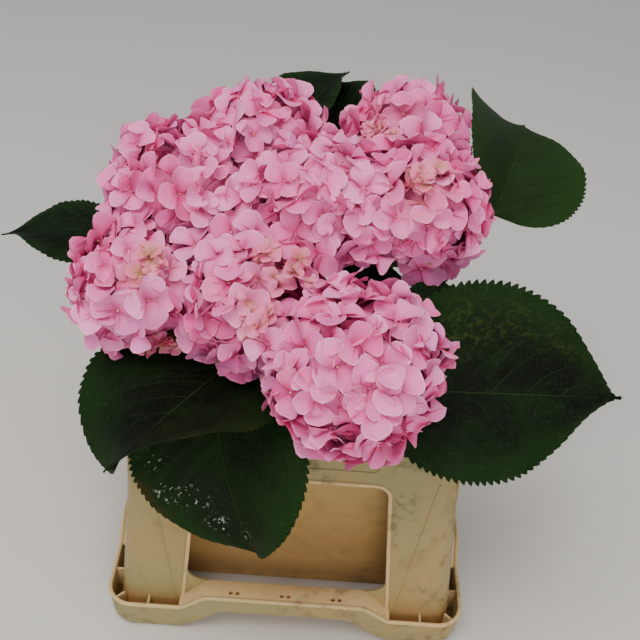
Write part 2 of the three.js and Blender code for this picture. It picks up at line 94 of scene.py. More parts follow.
# The stems and the blooms they carry, as in the part's source.
STEM = {"foot": 5.3, "foot_radius": 5.5, "tip_radius": 4.2, "sides": 18, "bend": 0.5, "under": 9.8,
        "joints": (150, 262, 345), "joint_swell": 1.5, "joint_reach": 6.0}
LEAN_FROM = 250         # the height on the middle line that the blooms lean away from
CORE = 0.7              # how much of a bloom's radius its stem leaves free
# Each bloom: its ball, its stem's foot and mouth, its young middles as (direction, reach in radians, share),
# and where it swells or shrinks from the ball as (direction, reach in radians, millimetres).
BLOOMS = {
    "front": {"centre": (44, -128, 391), "radius": 89, "foot": (22, -30), "mouth": (42, -72), "young": [],
              "bulges": [((1, 0.1, 0.2), 0.7, 13), ((-1, 0, 0.1), 0.7, -8), ((0.1, 0.6, 0.8), 0.5, 7),
                         ((0.2, -0.6, -0.8), 0.6, 6)]},
    "front_left": {"centre": (-53, -46, 396), "radius": 79, "foot": (-30, -28), "mouth": (-48, -42),
                   "young": [((0.4, -0.28, 0.87), 0.3, 0.5), ((0.2, -0.88, 0.43), 0.25, 0.4)]},
    "left": {"centre": (-172, -29, 391), "radius": 69, "foot": (-75, -25), "mouth": (-120, -28),
             "young": [((0.42, -0.46, 0.78), 0.3, 0.7), ((0.55, -0.52, -0.65), 0.25, 0.6)],
             "bulges": [((0, 0.6, 0.8), 0.7, 6), ((-0.2, -0.6, -0.8), 0.7, -7)]},
    "back_left": {"centre": (-139, 72, 436), "radius": 90, "foot": (-80, 30), "mouth": (-108, 44),
                  "young": []},
    "top_left": {"centre": (-57, 154, 463), "radius": 76, "foot": (-35, 45), "mouth": (-46, 72), "young": []},
    "middle": {"centre": (6, 45, 453), "radius": 82, "foot": (0, 0), "mouth": (2, 10), "young": []},
    "right": {"centre": (109, 48, 459), "radius": 78, "foot": (70, 5), "mouth": (98, 15),
              "young": [((-0.06, -0.61, 0.79), 0.3, 0.6)]},
    "top_right": {"centre": (97, 162, 471), "radius": 78, "foot": (50, 48), "mouth": (70, 74),
                  "young": [((-0.45, -0.7, 0.56), 0.35, 0.4)]},
    "back": {"centre": (5, 212, 362), "radius": 70, "foot": (8, 48), "mouth": (12, 75), "young": []},
}
# Two coats of florets on each ball: how many a whole ball would take, where they sit, how far they tilt and
# how much painted shade deepens their colour. Sizes are half-widths in millimetres.
COATS = [
    {"count": 84, "seat": 0.74, "spread": 0.05, "size": 22.5, "tilt": 0.34, "deep": 0.0, "reach": 2.4},
    {"count": 50, "seat": 0.62, "spread": 0.04, "size": 22.0, "tilt": 0.25, "deep": 0.5, "reach": 2.4},
]
CROWDING = 1.5          # the lower, the more the florets fill the valleys between two blooms
CROWDED = 1.02          # florets are pushed out from where it is more crowded than this
MOST_PUSHED = 22        # and the furthest that they stand out there
# How far a floret's middle may lie past the plane between two blooms, and how near it may come to a leaf.
CLEARANCE = {"bloom": 9.0, "leaf": 11}
# The florets' tint from 0, light, to 1, rich, and how much lighter they are low down.
TINT = {"middle": 0.5, "spread": 0.28, "low_down": 0.25}
# The florets added to each young middle, how much smaller the others are there and how much deeper they sit.
YOUNG = {"count": 9, "seat": 0.84, "uneven": 0.03, "sizes": (9, 14), "tilt": 0.4,
         "smaller": 0.5, "sunk": 0.04}
# The kinds of floret as (petals, how deeply they are cupped).
FLORET_KINDS = [(4, 1.0), (4, 0.3), (4, 1.7), (4, 0.7), (4, 1.3), (4, 0.5), (5, 0.9), (4, 1.1)]
# A petal's grid, and its sizes in half-widths of its floret, with its widths by how many petals there are.
PETAL = {"cells": 4, "thickness": 0.03, "squareness": 0.24, "point": 0.08,
         "lengths": (0.88, 1.06), "widths": {4: (0.5, 0.6), 5: (0.43, 0.5)}}
BEAD = [(0.045, -0.03), (0.062, 0.02), (0.05, 0.07)]      # (radius, height) of its rings
# The shaded middle of a bloom and the branchlets round it: reach, hollow and rise are shares of the bloom's
# radius, down is the angle from the bloom's axis in radians and spread how far it varies.
HEART = {"reach": 0.54, "hollow": 0.28, "rings": 22, "sides": 32}
BRANCHLETS = {"count": 11, "radii": (2.4, 1.1), "sides": 6, "down": 2.25, "spread": 0.35, "reach": 0.8,
              "rise": 0.16, "forks": 3, "fork_radii": (1.2, 0.8), "fork_sides": 5, "fork_reach": 0.84}

# The leaves, as in the part's source: folds raise each half of the blade, right and left of its midrib, curls
# add to that towards the tip, and sway carries the tip sideways as a share of the length. Then the teeth down
# each side, and the marks as (kind, share of the length, share of the half-width, reach in shares, strength).
# stalk and rib_end are radii, and tooth, wave and ripple are shares of the length.
LEAF = {"thickness": 1.2, "tip": 1.5, "stalk": 2.6, "rib_end": 0.5, "tooth": 0.02,
        "wave": 0.012, "ripple": 0.006, "quilt": 1.3}
VEINS = {"count": 7, "stagger": 0.35, "curve": 1.25, "sweep": 0.62}      # sweep is a share of the length
# light is painted light: a share of paler green for a leaf that more light falls on.
PLAIN_LEAF = {"folds": (8, 8), "curls": (0, 0), "halves": (1, 1), "sway": 0, "point": 1, "light": 0,
              "marks": []}
LEAVES = {name: {**PLAIN_LEAF, **own} for name, own in {
    "right": {"stem": "front", "at": 314, "base": (76, -93, 339), "heading": (1.08, 0.03, 0.03),
              "face": (0.24, -0.57, 0.56), "length": 245, "width": 190, "bend": 11, "folds": (4, 18),
              "curls": (-34, 24), "halves": (0.92, 1.17), "teeth": 34,
              "marks": [("yellow", 0.32, 0.6, 0.12, 0.5), ("yellow", 0.5, 0.66, 0.1, 0.4),
                        ("yellow", 0.7, 0.7, 0.08, 0.35), ("yellow", 0.97, 0.3, 0.05, 0.9),
                        ("brown", 1, 0, 0.03, 1)]},
    "right_small": {"stem": "right", "at": 368, "base": (98, -18, 392), "heading": (0.95, -0.12, 0.12),
                    "face": (0, -0.5, 0.86), "length": 66, "width": 46, "bend": 12, "folds": (6, 6),
                    "teeth": 16, "marks": [("yellow", 0.4, 0.2, 0.3, 0.3)]},
    "lower_left": {"stem": "front_left", "at": 320, "base": (-73, -61, 328),
                   "heading": (-0.43, -0.81, 0.09), "face": (-0.21, 0.48, 1.01), "length": 180,
                   "width": 204, "bend": 5, "folds": (29, -14), "curls": (-100, 41), "halves": (1.17, 0.95),
                   "sway": -0.04, "teeth": 30,
                   "marks": [("brown", 0.75, 1.12, 0.07, 0.6), ("brown", 0.5, 1.12, 0.05, 0.5),
                             ("yellow", 1, 0, 0.03, 0.9)]},
    "front": {"stem": "front_left", "at": 303, "base": (-82, -96, 327), "heading": (0.19, -1.16, -0.62),
              "face": (-0.02, -0.87, 1.34), "length": 172, "width": 175, "bend": 57, "folds": (-3, 15),
              "curls": (5, 60), "halves": (1.01, 1.01), "sway": 0.17, "point": 0.35, "light": 0.08,
              "teeth": 28,
              "marks": [("brown", 1, 0, 0.06, 1), ("brown", 0.55, -1.06, 0.06, 0.8),
                        ("brown", 0.66, -1.06, 0.05, 0.7), ("pale", 0.38, -0.75, 0.04, 0.9),
                        ("pale", 0.56, -0.72, 0.05, 1), ("pale", 0.6, -0.45, 0.05, 1),
                        ("pale", 0.76, -0.35, 0.05, 1), ("pale", 0.86, 0.1, 0.05, 1)]},
    "far_left": {"stem": "back_left", "at": 345, "base": (-206, 64, 393), "heading": (-1.03, -0.01, 0.07),
                 "face": (-0.06, -0.42, 1.16), "length": 116, "width": 94, "bend": 2, "folds": (-4, 8),
                 "curls": (-10, 60), "halves": (0.95, 1.16), "sway": 0.17, "teeth": 20,
                 "marks": [("brown", 1, 0, 0.06, 0.8)]},
    "upper_right": {"stem": "right", "at": 345, "base": (202, 140, 403), "heading": (0.27, 0.52, 0.54),
                    "face": (0.24, -0.89, 0.73), "length": 158, "width": 202, "bend": 52, "folds": (3, 43),
                    "curls": (22, -46), "halves": (0.91, 1.1), "sway": -0.08, "light": 0.22, "teeth": 30,
                    "marks": [("brown", 1, 0, 0.06, 0.9)]},
    "top": {"stem": "top_left", "at": 390, "base": (-29, 257, 437), "heading": (0.47, 0.63, 0.7),
            "face": (-0.25, -0.18, 0.88), "length": 99, "width": 103, "bend": 27, "folds": (7, 2),
            "curls": (59, 4), "halves": (0.76, 1.44), "sway": -0.1, "teeth": 18},
    "top_behind": {"stem": "top_right", "at": 375, "base": (48, 241, 433), "heading": (-0.52, 0.75, 0.6),
                   "face": (-0.31, -0.74, 0.46), "length": 94, "width": 90, "bend": 25, "folds": (17, 7),
                   "curls": (-34, 2), "halves": (1.02, 0.99), "sway": -0.04, "teeth": 18},
    "under": {"stem": "middle", "at": 370, "base": (24, 2, 392), "heading": (0.97, 0.05, 0.12),
              "face": (0, -0.72, 0.69), "length": 80, "width": 66, "bend": 12, "folds": (5, 5),
              "halves": (1, 0.75), "teeth": 14},
    "back_left": {"stem": "back_left", "at": 330, "base": (-122, 128, 350), "heading": (-0.45, 0.85, 0.1),
                  "face": (0, 0.1, 1), "length": 150, "width": 124, "bend": 38, "teeth": 28,
                  "marks": [("yellow", 0.5, 0.7, 0.12, 0.5)]},
    "back_right": {"stem": "top_right", "at": 335, "base": (108, 150, 366), "heading": (0.62, 0.76, 0.1),
                   "face": (0, 0.1, 1), "length": 150, "width": 124, "bend": 36, "teeth": 28},
    "low_right": {"stem": "back", "at": 326, "base": (62, 148, 318), "heading": (0.5, 0.85, -0.1),
                  "face": (0, 0.1, 1), "length": 140, "width": 118, "bend": 40, "teeth": 26,
                  "marks": [("brown", 1, 0, 0.06, 0.7)]},
    "low_left": {"stem": "back", "at": 318, "base": (-46, 140, 314), "heading": (-0.45, 0.86, -0.1),
                 "face": (0, 0.1, 1), "length": 140, "width": 118, "bend": 40, "teeth": 26},
}.items()}

CAMERA = {"place": (8.2, -737.3, 922.0), "right": (0.9973685, 0.03786209, 0.06182661),
          "up": (-0.07202759, 0.61455155, 0.78558158), "focal": 901, "image": 640, "sensor": 36}
LIGHTS = {
    "overhead": {"place": (-0.5, -0.7, 2.5), "aim": (0, 0, 0.3), "size": 1.6,
                 "power": 44, "tone": (1.0, 0.98, 0.95)},
    "front": {"place": (0.5, -2.2, 1.2), "aim": (0, 0, 0.2), "size": 1.4,
              "power": 20, "tone": (1.0, 0.97, 0.93)},
}

# Colours from 0 to 255 as on a screen.
# warm is partly random clouding of the plastic and partly painted shade, the warm glow of its hollows and low
# parts.
STAND_TONES = {"light": (154, 144, 97), "warm": (218, 142, 72), "dirt": (84, 78, 48)}
TUB_TONES = {"light": (184, 158, 100), "warm": (168, 122, 66), "dirt": (112, 92, 54)}
# Painted highlight: the pale tone laid on ledges, ribs and beads where light catches them.
PALE_PLASTIC = (222, 188, 134)
# deep is painted shade, the deeper rose of the florets' inner coat.
PETAL_TONES = {"light": (252, 140, 206), "rich": (236, 80, 158), "faint": (255, 186, 222),
               "cloud": (250, 126, 194), "vein": (220, 64, 134), "heart": (214, 46, 124),
               "eye": (150, 24, 64), "cream": (200, 172, 96), "blush": (240, 122, 140),
               "deep": (222, 76, 142), "margin": (255, 206, 220), "bead": (240, 168, 160)}
# The rose of a bloom's inside is painted shade; the green is the branchlets' own.
INSIDE_TONES = {"rose": (196, 40, 96), "light_rose": (222, 76, 130),
                "green": (128, 150, 84), "light_green": (176, 178, 120)}
LEAF_TONES = {"dark": (5, 11, 4), "green": (19, 44, 11), "vein": (42, 66, 30), "light": (58, 88, 38),
              "yellow": (96, 110, 38), "pale": (226, 230, 214), "brown": (92, 52, 26)}
STEM_TONES = {"green": (112, 134, 66), "light": (142, 150, 88), "woody": (112, 96, 58), "pore": (84, 48, 40)}
FLOOR_TONE = (216, 212, 204)
FLOOR_REACH = 6000
SKY = {"tone": (0.93, 0.95, 1.0, 1), "strength": 0.55}

# Where the random draws of each kind of piece start.
SEEDS = {"leaf": 40, "floret": 70, "bloom": 11, "inside": 31}


# ---------------------------------------------------------------- small helpers
def unit(vector):
    """A vector's direction, with length 1."""
    vector = np.asarray(vector, float)
    return vector / np.linalg.norm(vector)


def mix(a, b, share):
    """A place or a value between two others."""
    return np.asarray(a, float) * (1 - share) + np.asarray(b, float) * share


def colour(red, green, blue):
    """A colour given from 0 to 255 as on a screen, as the linear values that a shader takes."""
    def linear(value):
        value /= 255
        return value / 12.92 if value <= 0.04045 else ((value + 0.055) / 1.055) ** 2.4
    return (linear(red), linear(green), linear(blue), 1.0)


def colours(tones):
    """A table of colours, each as a shader takes it."""
    return {name: colour(*tone) for name, tone in tones.items()}


def quads(index, flip=False):
    """Faces of a grid of point numbers; they face along rows x columns, or the other way."""
    a, b, c, d = index[:-1, :-1], index[1:, :-1], index[1:, 1:], index[:-1, 1:]
    corners = (a, d, c, b) if flip else (a, b, c, d)
    return np.stack(corners, -1).reshape(-1, 4).tolist()


def tube_faces(rows, sides, closed=False, capped=True):
    """Faces of a tube of rings: closed on itself lengthways, capped at both ends, or open."""
    index = np.arange(rows * sides).reshape(rows, sides)
    index = np.concatenate([index, index[:, :1]], 1)
    if closed:
        index = np.concatenate([index, index[:1]], 0)
    faces = quads(index, flip=True)
    if capped and not closed:
        faces += [index[0, :-1][::-1].tolist(), index[-1, :-1].tolist()]
    return faces


def shown(name, mesh):
    """A mesh as an object in the scene."""
    piece = bpy.data.objects.new(name, mesh)
    bpy.context.scene.collection.objects.link(piece)
    return piece


def hold(mesh, name, values, kind="FLOAT", part="value"):
    """Keeps one value for each point of a mesh."""
    attribute = mesh.attributes.new(name, kind, "POINT")
    attribute.data.foreach_set(part, np.asarray(values, np.float32).ravel())


class Shape:
    """Closed bodies gathered into one mesh, each point with its place on the surface and its values."""

    def __init__(self, *names):
        self.points, self.faces, self.places = [], [], []
        self.values = {name: [] for name in names}
        self.count = 0

    def add(self, points, faces, places=None, **values):
        """Adds a body whose faces count from its own first point."""
        points = np.asarray(points, float).reshape(-1, 3)
        self.faces += [[i + self.count for i in face] for face in faces]
        self.points.append(points)
        places = np.zeros((len(points), 2)) if places is None else np.asarray(places)
        self.places.append(places.reshape(-1, 2))
        for name, held in self.values.items():
            held.append(np.broadcast_to(np.asarray(values.get(name, 0.0), float).reshape(-1), len(points)))
        self.count += len(points)
        return self

    def build(self, name, scale=MM, sharp=40):
        """The mesh as an object, with edges past an angle in degrees left sharp."""
        mesh = bpy.data.meshes.new(name)
        mesh.from_pydata((np.concatenate(self.points) * scale).tolist(), [], self.faces)
        corner_points = np.zeros(len(mesh.loops), int)
        mesh.loops.foreach_get("vertex_index", corner_points)
        layer = mesh.uv_layers.new(name="Surface")
        layer.data.foreach_set("uv", np.concatenate(self.places)[corner_points].reshape(-1))
        for value_name, held in self.values.items():
            hold(mesh, value_name, np.concatenate(held))
        mesh.shade_smooth()
        mesh.set_sharp_from_angle(angle=math.radians(sharp))
        return shown(name, mesh)


def settled(piece, sharp=40):
    """The piece with its modifiers applied."""
    name = piece.name
    mesh = bpy.data.meshes.new_from_object(piece.evaluated_get(bpy.context.evaluated_depsgraph_get()))
    bpy.data.objects.remove(piece)
    mesh.shade_smooth()
    mesh.set_sharp_from_angle(angle=math.radians(sharp))
    mesh.name = name
    return shown(name, mesh)


def joined(name, pieces):
    """Several pieces as one mesh."""
    with bpy.context.temp_override(active_object=pieces[0], object=pieces[0], selected_objects=pieces,
                                   selected_editable_objects=pieces):
        bpy.ops.object.join()
    pieces[0].name = name
    pieces[0].data.name = name
    return pieces[0]


def dress(piece, finish, slot, *nodes):
    """Gives a finished piece its material and its place in the model."""
    piece.data.materials.clear()
    piece.data.materials.append(finish)
    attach(piece, "root")
    if nodes:
        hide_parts(*nodes)
    return piece


def two_sided(top, bottom):
    """Points and faces of a thin closed blade whose two grids share their edge."""
    rows, columns = top.shape[:2]
    upper = np.arange(rows * columns).reshape(rows, columns)
    lower = upper.copy()
    lower[1:-1, 1:-1] = rows * columns + np.arange((rows - 2) * (columns - 2)).reshape(rows - 2, columns - 2)
    faces = quads(upper) + quads(lower, flip=True)
    return np.concatenate([top.reshape(-1, 3), bottom[1:-1, 1:-1].reshape(-1, 3)]), faces


def on_both(values):
    """Values of a grid repeated for both sides of a two-sided blade."""
    inner = values[1:-1, 1:-1]
    return np.concatenate([values.reshape(-1, *values.shape[2:]), inner.reshape(-1, *values.shape[2:])])


def sweep(path, radii, sides, closed=False, start=(0, 0, 1)):
    """Points, faces and places of a round tube along a path."""
    path = np.asarray(path, float)
    count = len(path)
    if closed:
        ways = np.roll(path, -1, 0) - np.roll(path, 1, 0)
    else:
        ways = np.gradient(path, axis=0)
    angles = np.arange(sides) * 2 * np.pi / sides
    side = np.asarray(start, float)
    rings = []
    for point, way, radius in zip(path, ways, np.broadcast_to(radii, count)):
        way = unit(way)
        side = unit(side - way * (side @ way))
        up = np.cross(way, side)
        rings.append(point + radius * (np.cos(angles)[:, None] * side + np.sin(angles)[:, None] * up))
    along = np.repeat(np.arange(count) / max(count - 1, 1), sides)
    around = np.tile(np.abs(2 * np.arange(sides) / sides - 1), count)
    return np.concatenate(rings), tube_faces(count, sides, closed), np.stack([around, along], 1)


def quadratic(a, b, c, steps):
    """Points of a quadratic bend from a to c that is pulled towards b."""
    t = np.linspace(0, 1, steps + 1)[:, None]
    return (1 - t) ** 2 * np.asarray(a) + 2 * t * (1 - t) * np.asarray(b) + t * t * np.asarray(c)


# ---------------------------------------------------------------- node trees
class Nodes:
    """Adds nodes to a tree. Inputs are given by name, as a value or as the socket to link from."""

    def __init__(self, tree):
        self.tree = tree

    def give(self, socket, value):
        """Sets a socket, or links it from another one."""
        if isinstance(value, bpy.types.NodeSocket):
            self.tree.links.new(value, socket)
        else:
            socket.default_value = value

    def add(self, kind, inputs=None, **settings):
        """Adds a node with its settings."""
        node = self.tree.nodes.new(kind)
        for name, value in settings.items():
            setattr(node, name, value)
        for name, value in (inputs or {}).items():
            socket = node.inputs[name] if isinstance(name, int) else next(
                s for s in node.inputs if s.name == name and s.enabled)
            self.give(socket, value)
        return node

    def out(self, kind, inputs=None, output=None, **settings):
        """Adds a node and hands back its output of that name, or its first one."""
        node = self.add(kind, inputs, **settings)
        return next(s for s in node.outputs if s.enabled and (output is None or s.name == output))

    def math(self, operation, a, b=0.0, c=None, clamp=False):
        """The outcome of a sum on two or three values."""
        values = {0: a, 1: b} if c is None else {0: a, 1: b, 2: c}
        return self.out("ShaderNodeMath", values, operation=operation, use_clamp=clamp)

    def times(self, product, *others):
        """The product of values."""
        for other in others:
            product = self.math("MULTIPLY", product, other)
        return product

    def blend(self, share, a, b):
        """A colour between two others."""
        return self.out("ShaderNodeMix", {"Factor": share, "A": a, "B": b}, "Result", data_type="RGBA")

    def over(self, base, tone, *masks):
        """Lays a colour over a base as far as the masks let it."""
        return self.blend(self.times(*masks), base, tone)

    def step(self, value, low, high):
        """0 below low, 1 above high, and smooth between."""
        return self.out("ShaderNodeMapRange", {"Value": value, "From Min": low, "From Max": high}, "Result",
                        interpolation_type="SMOOTHSTEP")

    def value(self, name):
        """A value that the mesh holds."""
        return self.out("ShaderNodeAttribute", None, "Fac", attribute_name=name)

    def surface(self):
        """The two shares that say where on its surface a point lies."""
        place = self.out("ShaderNodeUVMap", None, "UV", uv_map="Surface")
        split = self.add("ShaderNodeSeparateXYZ", {0: place}).outputs
        return split["X"], split["Y"]

    def space(self):
        """Where a point lies in space."""
        return self.out("ShaderNodeTexCoord", None, "Object")

    def height(self):
        """How high a point lies, in metres."""
        return self.out("ShaderNodeSeparateXYZ", {0: self.space()}, "Z")

    def group(self, tree, output, inputs):
        """The output of a shader group."""
        node = self.tree.nodes.new("ShaderNodeGroup")
        node.node_tree = tree
        for name, value in inputs.items():
            self.give(node.inputs[name], value)
        return node.outputs[output]

    def patches(self, stretch, low, high):
        """A mask of soft-edged patches. stretch is one number, or one for each axis."""
        if isinstance(stretch, float):
            stretch = (stretch, stretch, stretch)
        return self.group(PATCHES, "Mask", {"Stretch": stretch, "Low": low, "High": high})

    def grain(self, scale, coarse_scale, coarse):
        """A height from 0 to 1 that a given share of coarse grain joins."""
        return self.group(GRAIN, "Height", {"Scale": scale, "Coarse Scale": coarse_scale, "Coarse": coarse})


def effect(name, inputs, output):
    """A new shader group, its node builder, and the sockets of its inputs and of its output."""
    tree = bpy.data.node_groups.new(name, "ShaderNodeTree")
    for input_name, value in inputs.items():
        socket_kind = "NodeSocketVector" if isinstance(value, tuple) else "NodeSocketFloat"
        socket = tree.interface.new_socket(input_name, in_out="INPUT", socket_type=socket_kind)
        socket.default_value = value
    tree.interface.new_socket(output, in_out="OUTPUT", socket_type="NodeSocketFloat")
    nodes = Nodes(tree)
    return tree, nodes, nodes.add("NodeGroupInput").outputs, nodes.add("NodeGroupOutput").inputs


def make_patches():
    """Soft-edged patches in space: Stretch sizes them on each axis, Low and High set their share."""
    tree, nodes, given, result = effect(
        "patches", {"Stretch": (1.0, 1.0, 1.0), "Low": 0.5, "High": 0.6}, "Mask")
    scaled = nodes.out("ShaderNodeVectorMath", {0: nodes.space(), 1: given["Stretch"]}, "Vector",
                       operation="MULTIPLY")
    noise = nodes.out("ShaderNodeTexNoise", {"Vector": scaled, "Scale": 1.0, "Detail": 4.0, "Roughness": 0.6},
                      "Fac")
    tree.links.new(nodes.step(noise, given["Low"], given["High"]), result["Mask"])
    return tree


def make_grain():
    """The fine unevenness of a surface as a height from 0 to 1."""
    tree, nodes, given, result = effect(
        "surface grain", {"Scale": 400.0, "Coarse Scale": 60.0, "Coarse": 0.5}, "Height")
    place = nodes.space()
    fine, coarse = (
        nodes.out("ShaderNodeTexNoise", {"Vector": place, "Scale": given[scale], "Detail": detail}, "Fac")
        for scale, detail in (("Scale", 2.0), ("Coarse Scale", 3.0)))
    both = nodes.out("ShaderNodeMix", {"Factor": given["Coarse"], "A": fine, "B": coarse}, "Result")
    tree.links.new(both, result["Height"])
    return tree


PATCHES = make_patches()
GRAIN = make_grain()


def new_finish(name, roughness, specular=0.5):
    """A material, its node builder and its shader."""
    finish = bpy.data.materials.new(name)
    finish.use_nodes = True
    nodes = Nodes(finish.node_tree)
    shader = finish.node_tree.nodes["Principled BSDF"]
    shader.inputs["Roughness"].default_value = roughness
    shader.inputs["Specular IOR Level"].default_value = specular
    return finish, nodes, shader


def lay(nodes, shader, base, height, distance, strength):
    """Links a colour and a relief to the shader."""
    nodes.tree.links.new(base, shader.inputs["Base Color"])
    bump = nodes.out("ShaderNodeBump", {"Height": height, "Distance": distance, "Strength": strength},
                     "Normal")
    nodes.tree.links.new(bump, shader.inputs["Normal"])


def plastic_finish(name, tones, dirt_share):
    """Scuffed plastic that light soaks into, smudged with dirt, with a warm painted shade in its depths and a
    painted highlight on its ledges.
    """
    finish, nodes, shader = new_finish(name, 0.42, 0.4)
    shader.inputs["Subsurface Weight"].default_value = 0.25
    shader.inputs["Subsurface Radius"].default_value = (1.0, 0.55, 0.25)
    shader.inputs["Subsurface Scale"].default_value = 0.006
    tones = colours(tones)
    base = nodes.over(tones["light"], tones["warm"], nodes.patches((9.0, 9.0, 6.0), 0.35, 0.7), 0.22)
    # Painted shade: the warm glow of the hollows and low parts, as far as each point's depth value says.
    base = nodes.over(base, tones["warm"], nodes.value("depth"))
    # Painted highlight on the ledges, ribs and beads.
    base = nodes.over(base, colour(*PALE_PLASTIC), nodes.value("bright"))
    smudges = nodes.patches((52.0, 52.0, 60.0), 0.47, 0.66)
    where = nodes.patches((15.0, 15.0, 7.0), 0.44, 0.6)
    base = nodes.over(base, tones["dirt"], smudges, where, dirt_share)
    base = nodes.over(base, tones["dirt"], nodes.patches(260.0, 0.69, 0.73), 0.5)
    low_down = nodes.step(nodes.height(), 0.03, 0.0)
    base = nodes.over(base, tones["dirt"], low_down, nodes.patches(60.0, 0.4, 0.65), 0.45)
    lay(nodes, shader, base, nodes.grain(900.0, 45.0, 0.4), 0.0006, 0.35)
    rough = nodes.out("ShaderNodeMapRange", {"Value": smudges, "To Min": 0.4, "To Max": 0.75}, "Result")
    nodes.tree.links.new(rough, shader.inputs["Roughness"])
    return finish


def petal_finish():
    """Pink petals: paler towards the edge, veined from a deeper eye, creamy green where still young."""
    finish, nodes, shader = new_finish("petals", 0.55, 0.3)
    tones = colours(PETAL_TONES)
    across, along = nodes.surface()
    base = nodes.blend(nodes.value("tint"), tones["light"], tones["rich"])
    base = nodes.over(base, tones["faint"], nodes.value("shade"), 0.25)
    base = nodes.over(base, tones["cloud"], nodes.patches(70.0, 0.4, 0.65), 0.3)
    fan = nodes.math("DIVIDE", nodes.math("SUBTRACT", across, 0.5), nodes.math("ADD", along, 0.25))
    lines = nodes.math("SINE", nodes.times(fan, 58.0))
    vein = nodes.times(nodes.step(lines, 0.3, 1.0), nodes.step(along, 1.05, 0.3))
    base = nodes.over(base, tones["vein"], vein, 0.2)
    base = nodes.over(base, tones["heart"], nodes.step(along, 0.55, 0.05), 0.65)
    base = nodes.over(base, tones["eye"], nodes.step(along, 0.12, 0.05), 0.5)
    young = nodes.blend(nodes.step(along, 0.15, 0.8), tones["cream"], tones["blush"])
    base = nodes.over(base, young, nodes.value("young"))
    # Painted shade: the inner coat takes a deeper rose, as in the shadow between the florets.
    base = nodes.over(base, tones["deep"], nodes.value("deep"))
    # The pale margin is partly the petals' own paler edge and partly painted highlight where their edges
    # catch the light.
    margin = nodes.times(nodes.step(nodes.value("edge"), 0.8, 1.0), nodes.step(along, 0.15, 0.5))
    base = nodes.over(base, tones["margin"], margin, 0.3)
    base = nodes.over(base, tones["bead"], nodes.value("bead"))
    relief = nodes.math("SUBTRACT", nodes.grain(700.0, 160.0, 0.5), nodes.times(vein, 0.8))
    lay(nodes, shader, base, relief, 0.0006, 0.5)
    return finish


def core_finish():
    """The inside of a bloom: rose shade above, pale green branchlets below."""
    finish, nodes, shader = new_finish("bloom inside", 0.7, 0.2)
    tones = colours(INSIDE_TONES)
    cloud = nodes.patches(90.0, 0.4, 0.65)
    # Painted shade: the rose ball stands for the florets deep in the bloom, dark as the shadow there.
    rose = nodes.blend(cloud, tones["rose"], tones["light_rose"])
    green = nodes.blend(cloud, tones["green"], tones["light_green"])
    base = nodes.blend(nodes.value("twig"), rose, green)
    lay(nodes, shader, base, nodes.grain(500.0, 120.0, 0.6), 0.001, 0.5)
    return finish


def leaf_finish():
    """A dark quilted leaf: sunken side veins that curve forwards, a fine net between them, and its marks."""
    finish, nodes, shader = new_finish("leaves", 0.58, 0.09)
    tones = colours(LEAF_TONES)
    along, sideways = nodes.surface()
    signed = nodes.math("MULTIPLY_ADD", sideways, 2.0, -1.0)
    across = nodes.math("ABSOLUTE", signed)
    left = nodes.math("GREATER_THAN", signed, 0.0)
    sweep_here = nodes.math("MULTIPLY_ADD", along, -0.5 * VEINS["sweep"], VEINS["sweep"])
    root = nodes.math("SUBTRACT", along, nodes.times(nodes.math("POWER", across, VEINS["curve"]), sweep_here))
    phase = nodes.math("MULTIPLY_ADD", left, VEINS["stagger"], nodes.times(root, float(VEINS["count"])))
    from_vein = nodes.math("ABSOLUTE", nodes.math("SUBTRACT", nodes.math("FRACT", phase), 0.5))
    side_width = nodes.math("MULTIPLY_ADD", across, -0.02, 0.034)
    side_vein = nodes.math("SUBTRACT", 1.0, nodes.step(from_vein, 0.0, side_width))
    side_vein = nodes.times(side_vein, nodes.step(across, 1.0, 0.7))
    midrib = nodes.math("SUBTRACT", 1.0, nodes.step(across, 0.004, 0.015))
    vein = nodes.math("MAXIMUM", side_vein, midrib)
    net = nodes.out("ShaderNodeTexVoronoi", {"Vector": nodes.space(), "Scale": 190.0}, "Distance",
                    feature="DISTANCE_TO_EDGE")
    net_line = nodes.math("SUBTRACT", 1.0, nodes.step(net, 0.0, 0.09))
    base = nodes.over(tones["dark"], tones["green"], nodes.patches(26.0, 0.35, 0.7), 0.5)
    base = nodes.over(base, tones["green"], nodes.step(across, 0.35, 1.0), 0.8)
    # Painted light: a paler green on the leaves that more light falls on.
    base = nodes.over(base, tones["light"], nodes.value("light"))
    base = nodes.over(base, tones["vein"], net_line, 0.14)
    base = nodes.over(base, tones["vein"], vein, 0.5)
    mottle = nodes.patches(190.0, 0.46, 0.62)
    base = nodes.over(base, tones["yellow"], nodes.value("yellow"), mottle, 0.4)
    pale = nodes.times(nodes.math("ADD", nodes.value("pale"), 0.01), nodes.patches(240.0, 0.6, 0.64))
    base = nodes.over(base, tones["pale"], nodes.math("MINIMUM", pale, 0.9))
    uneven = nodes.math("MULTIPLY_ADD", mottle, 0.5, 0.6)
    brown = nodes.math("MULTIPLY", nodes.value("brown"), uneven, clamp=True)
    base = nodes.over(base, tones["brown"], brown)
    bulge = nodes.times(from_vein, 0.7)
    height = nodes.math("ADD", bulge, nodes.times(nodes.grain(600.0, 120.0, 0.5), 0.35))
    for line, depth in ((vein, 0.5), (net_line, 0.12)):
        height = nodes.math("SUBTRACT", height, nodes.times(line, depth))
    lay(nodes, shader, base, height, 0.0018, 0.8)
    return finish


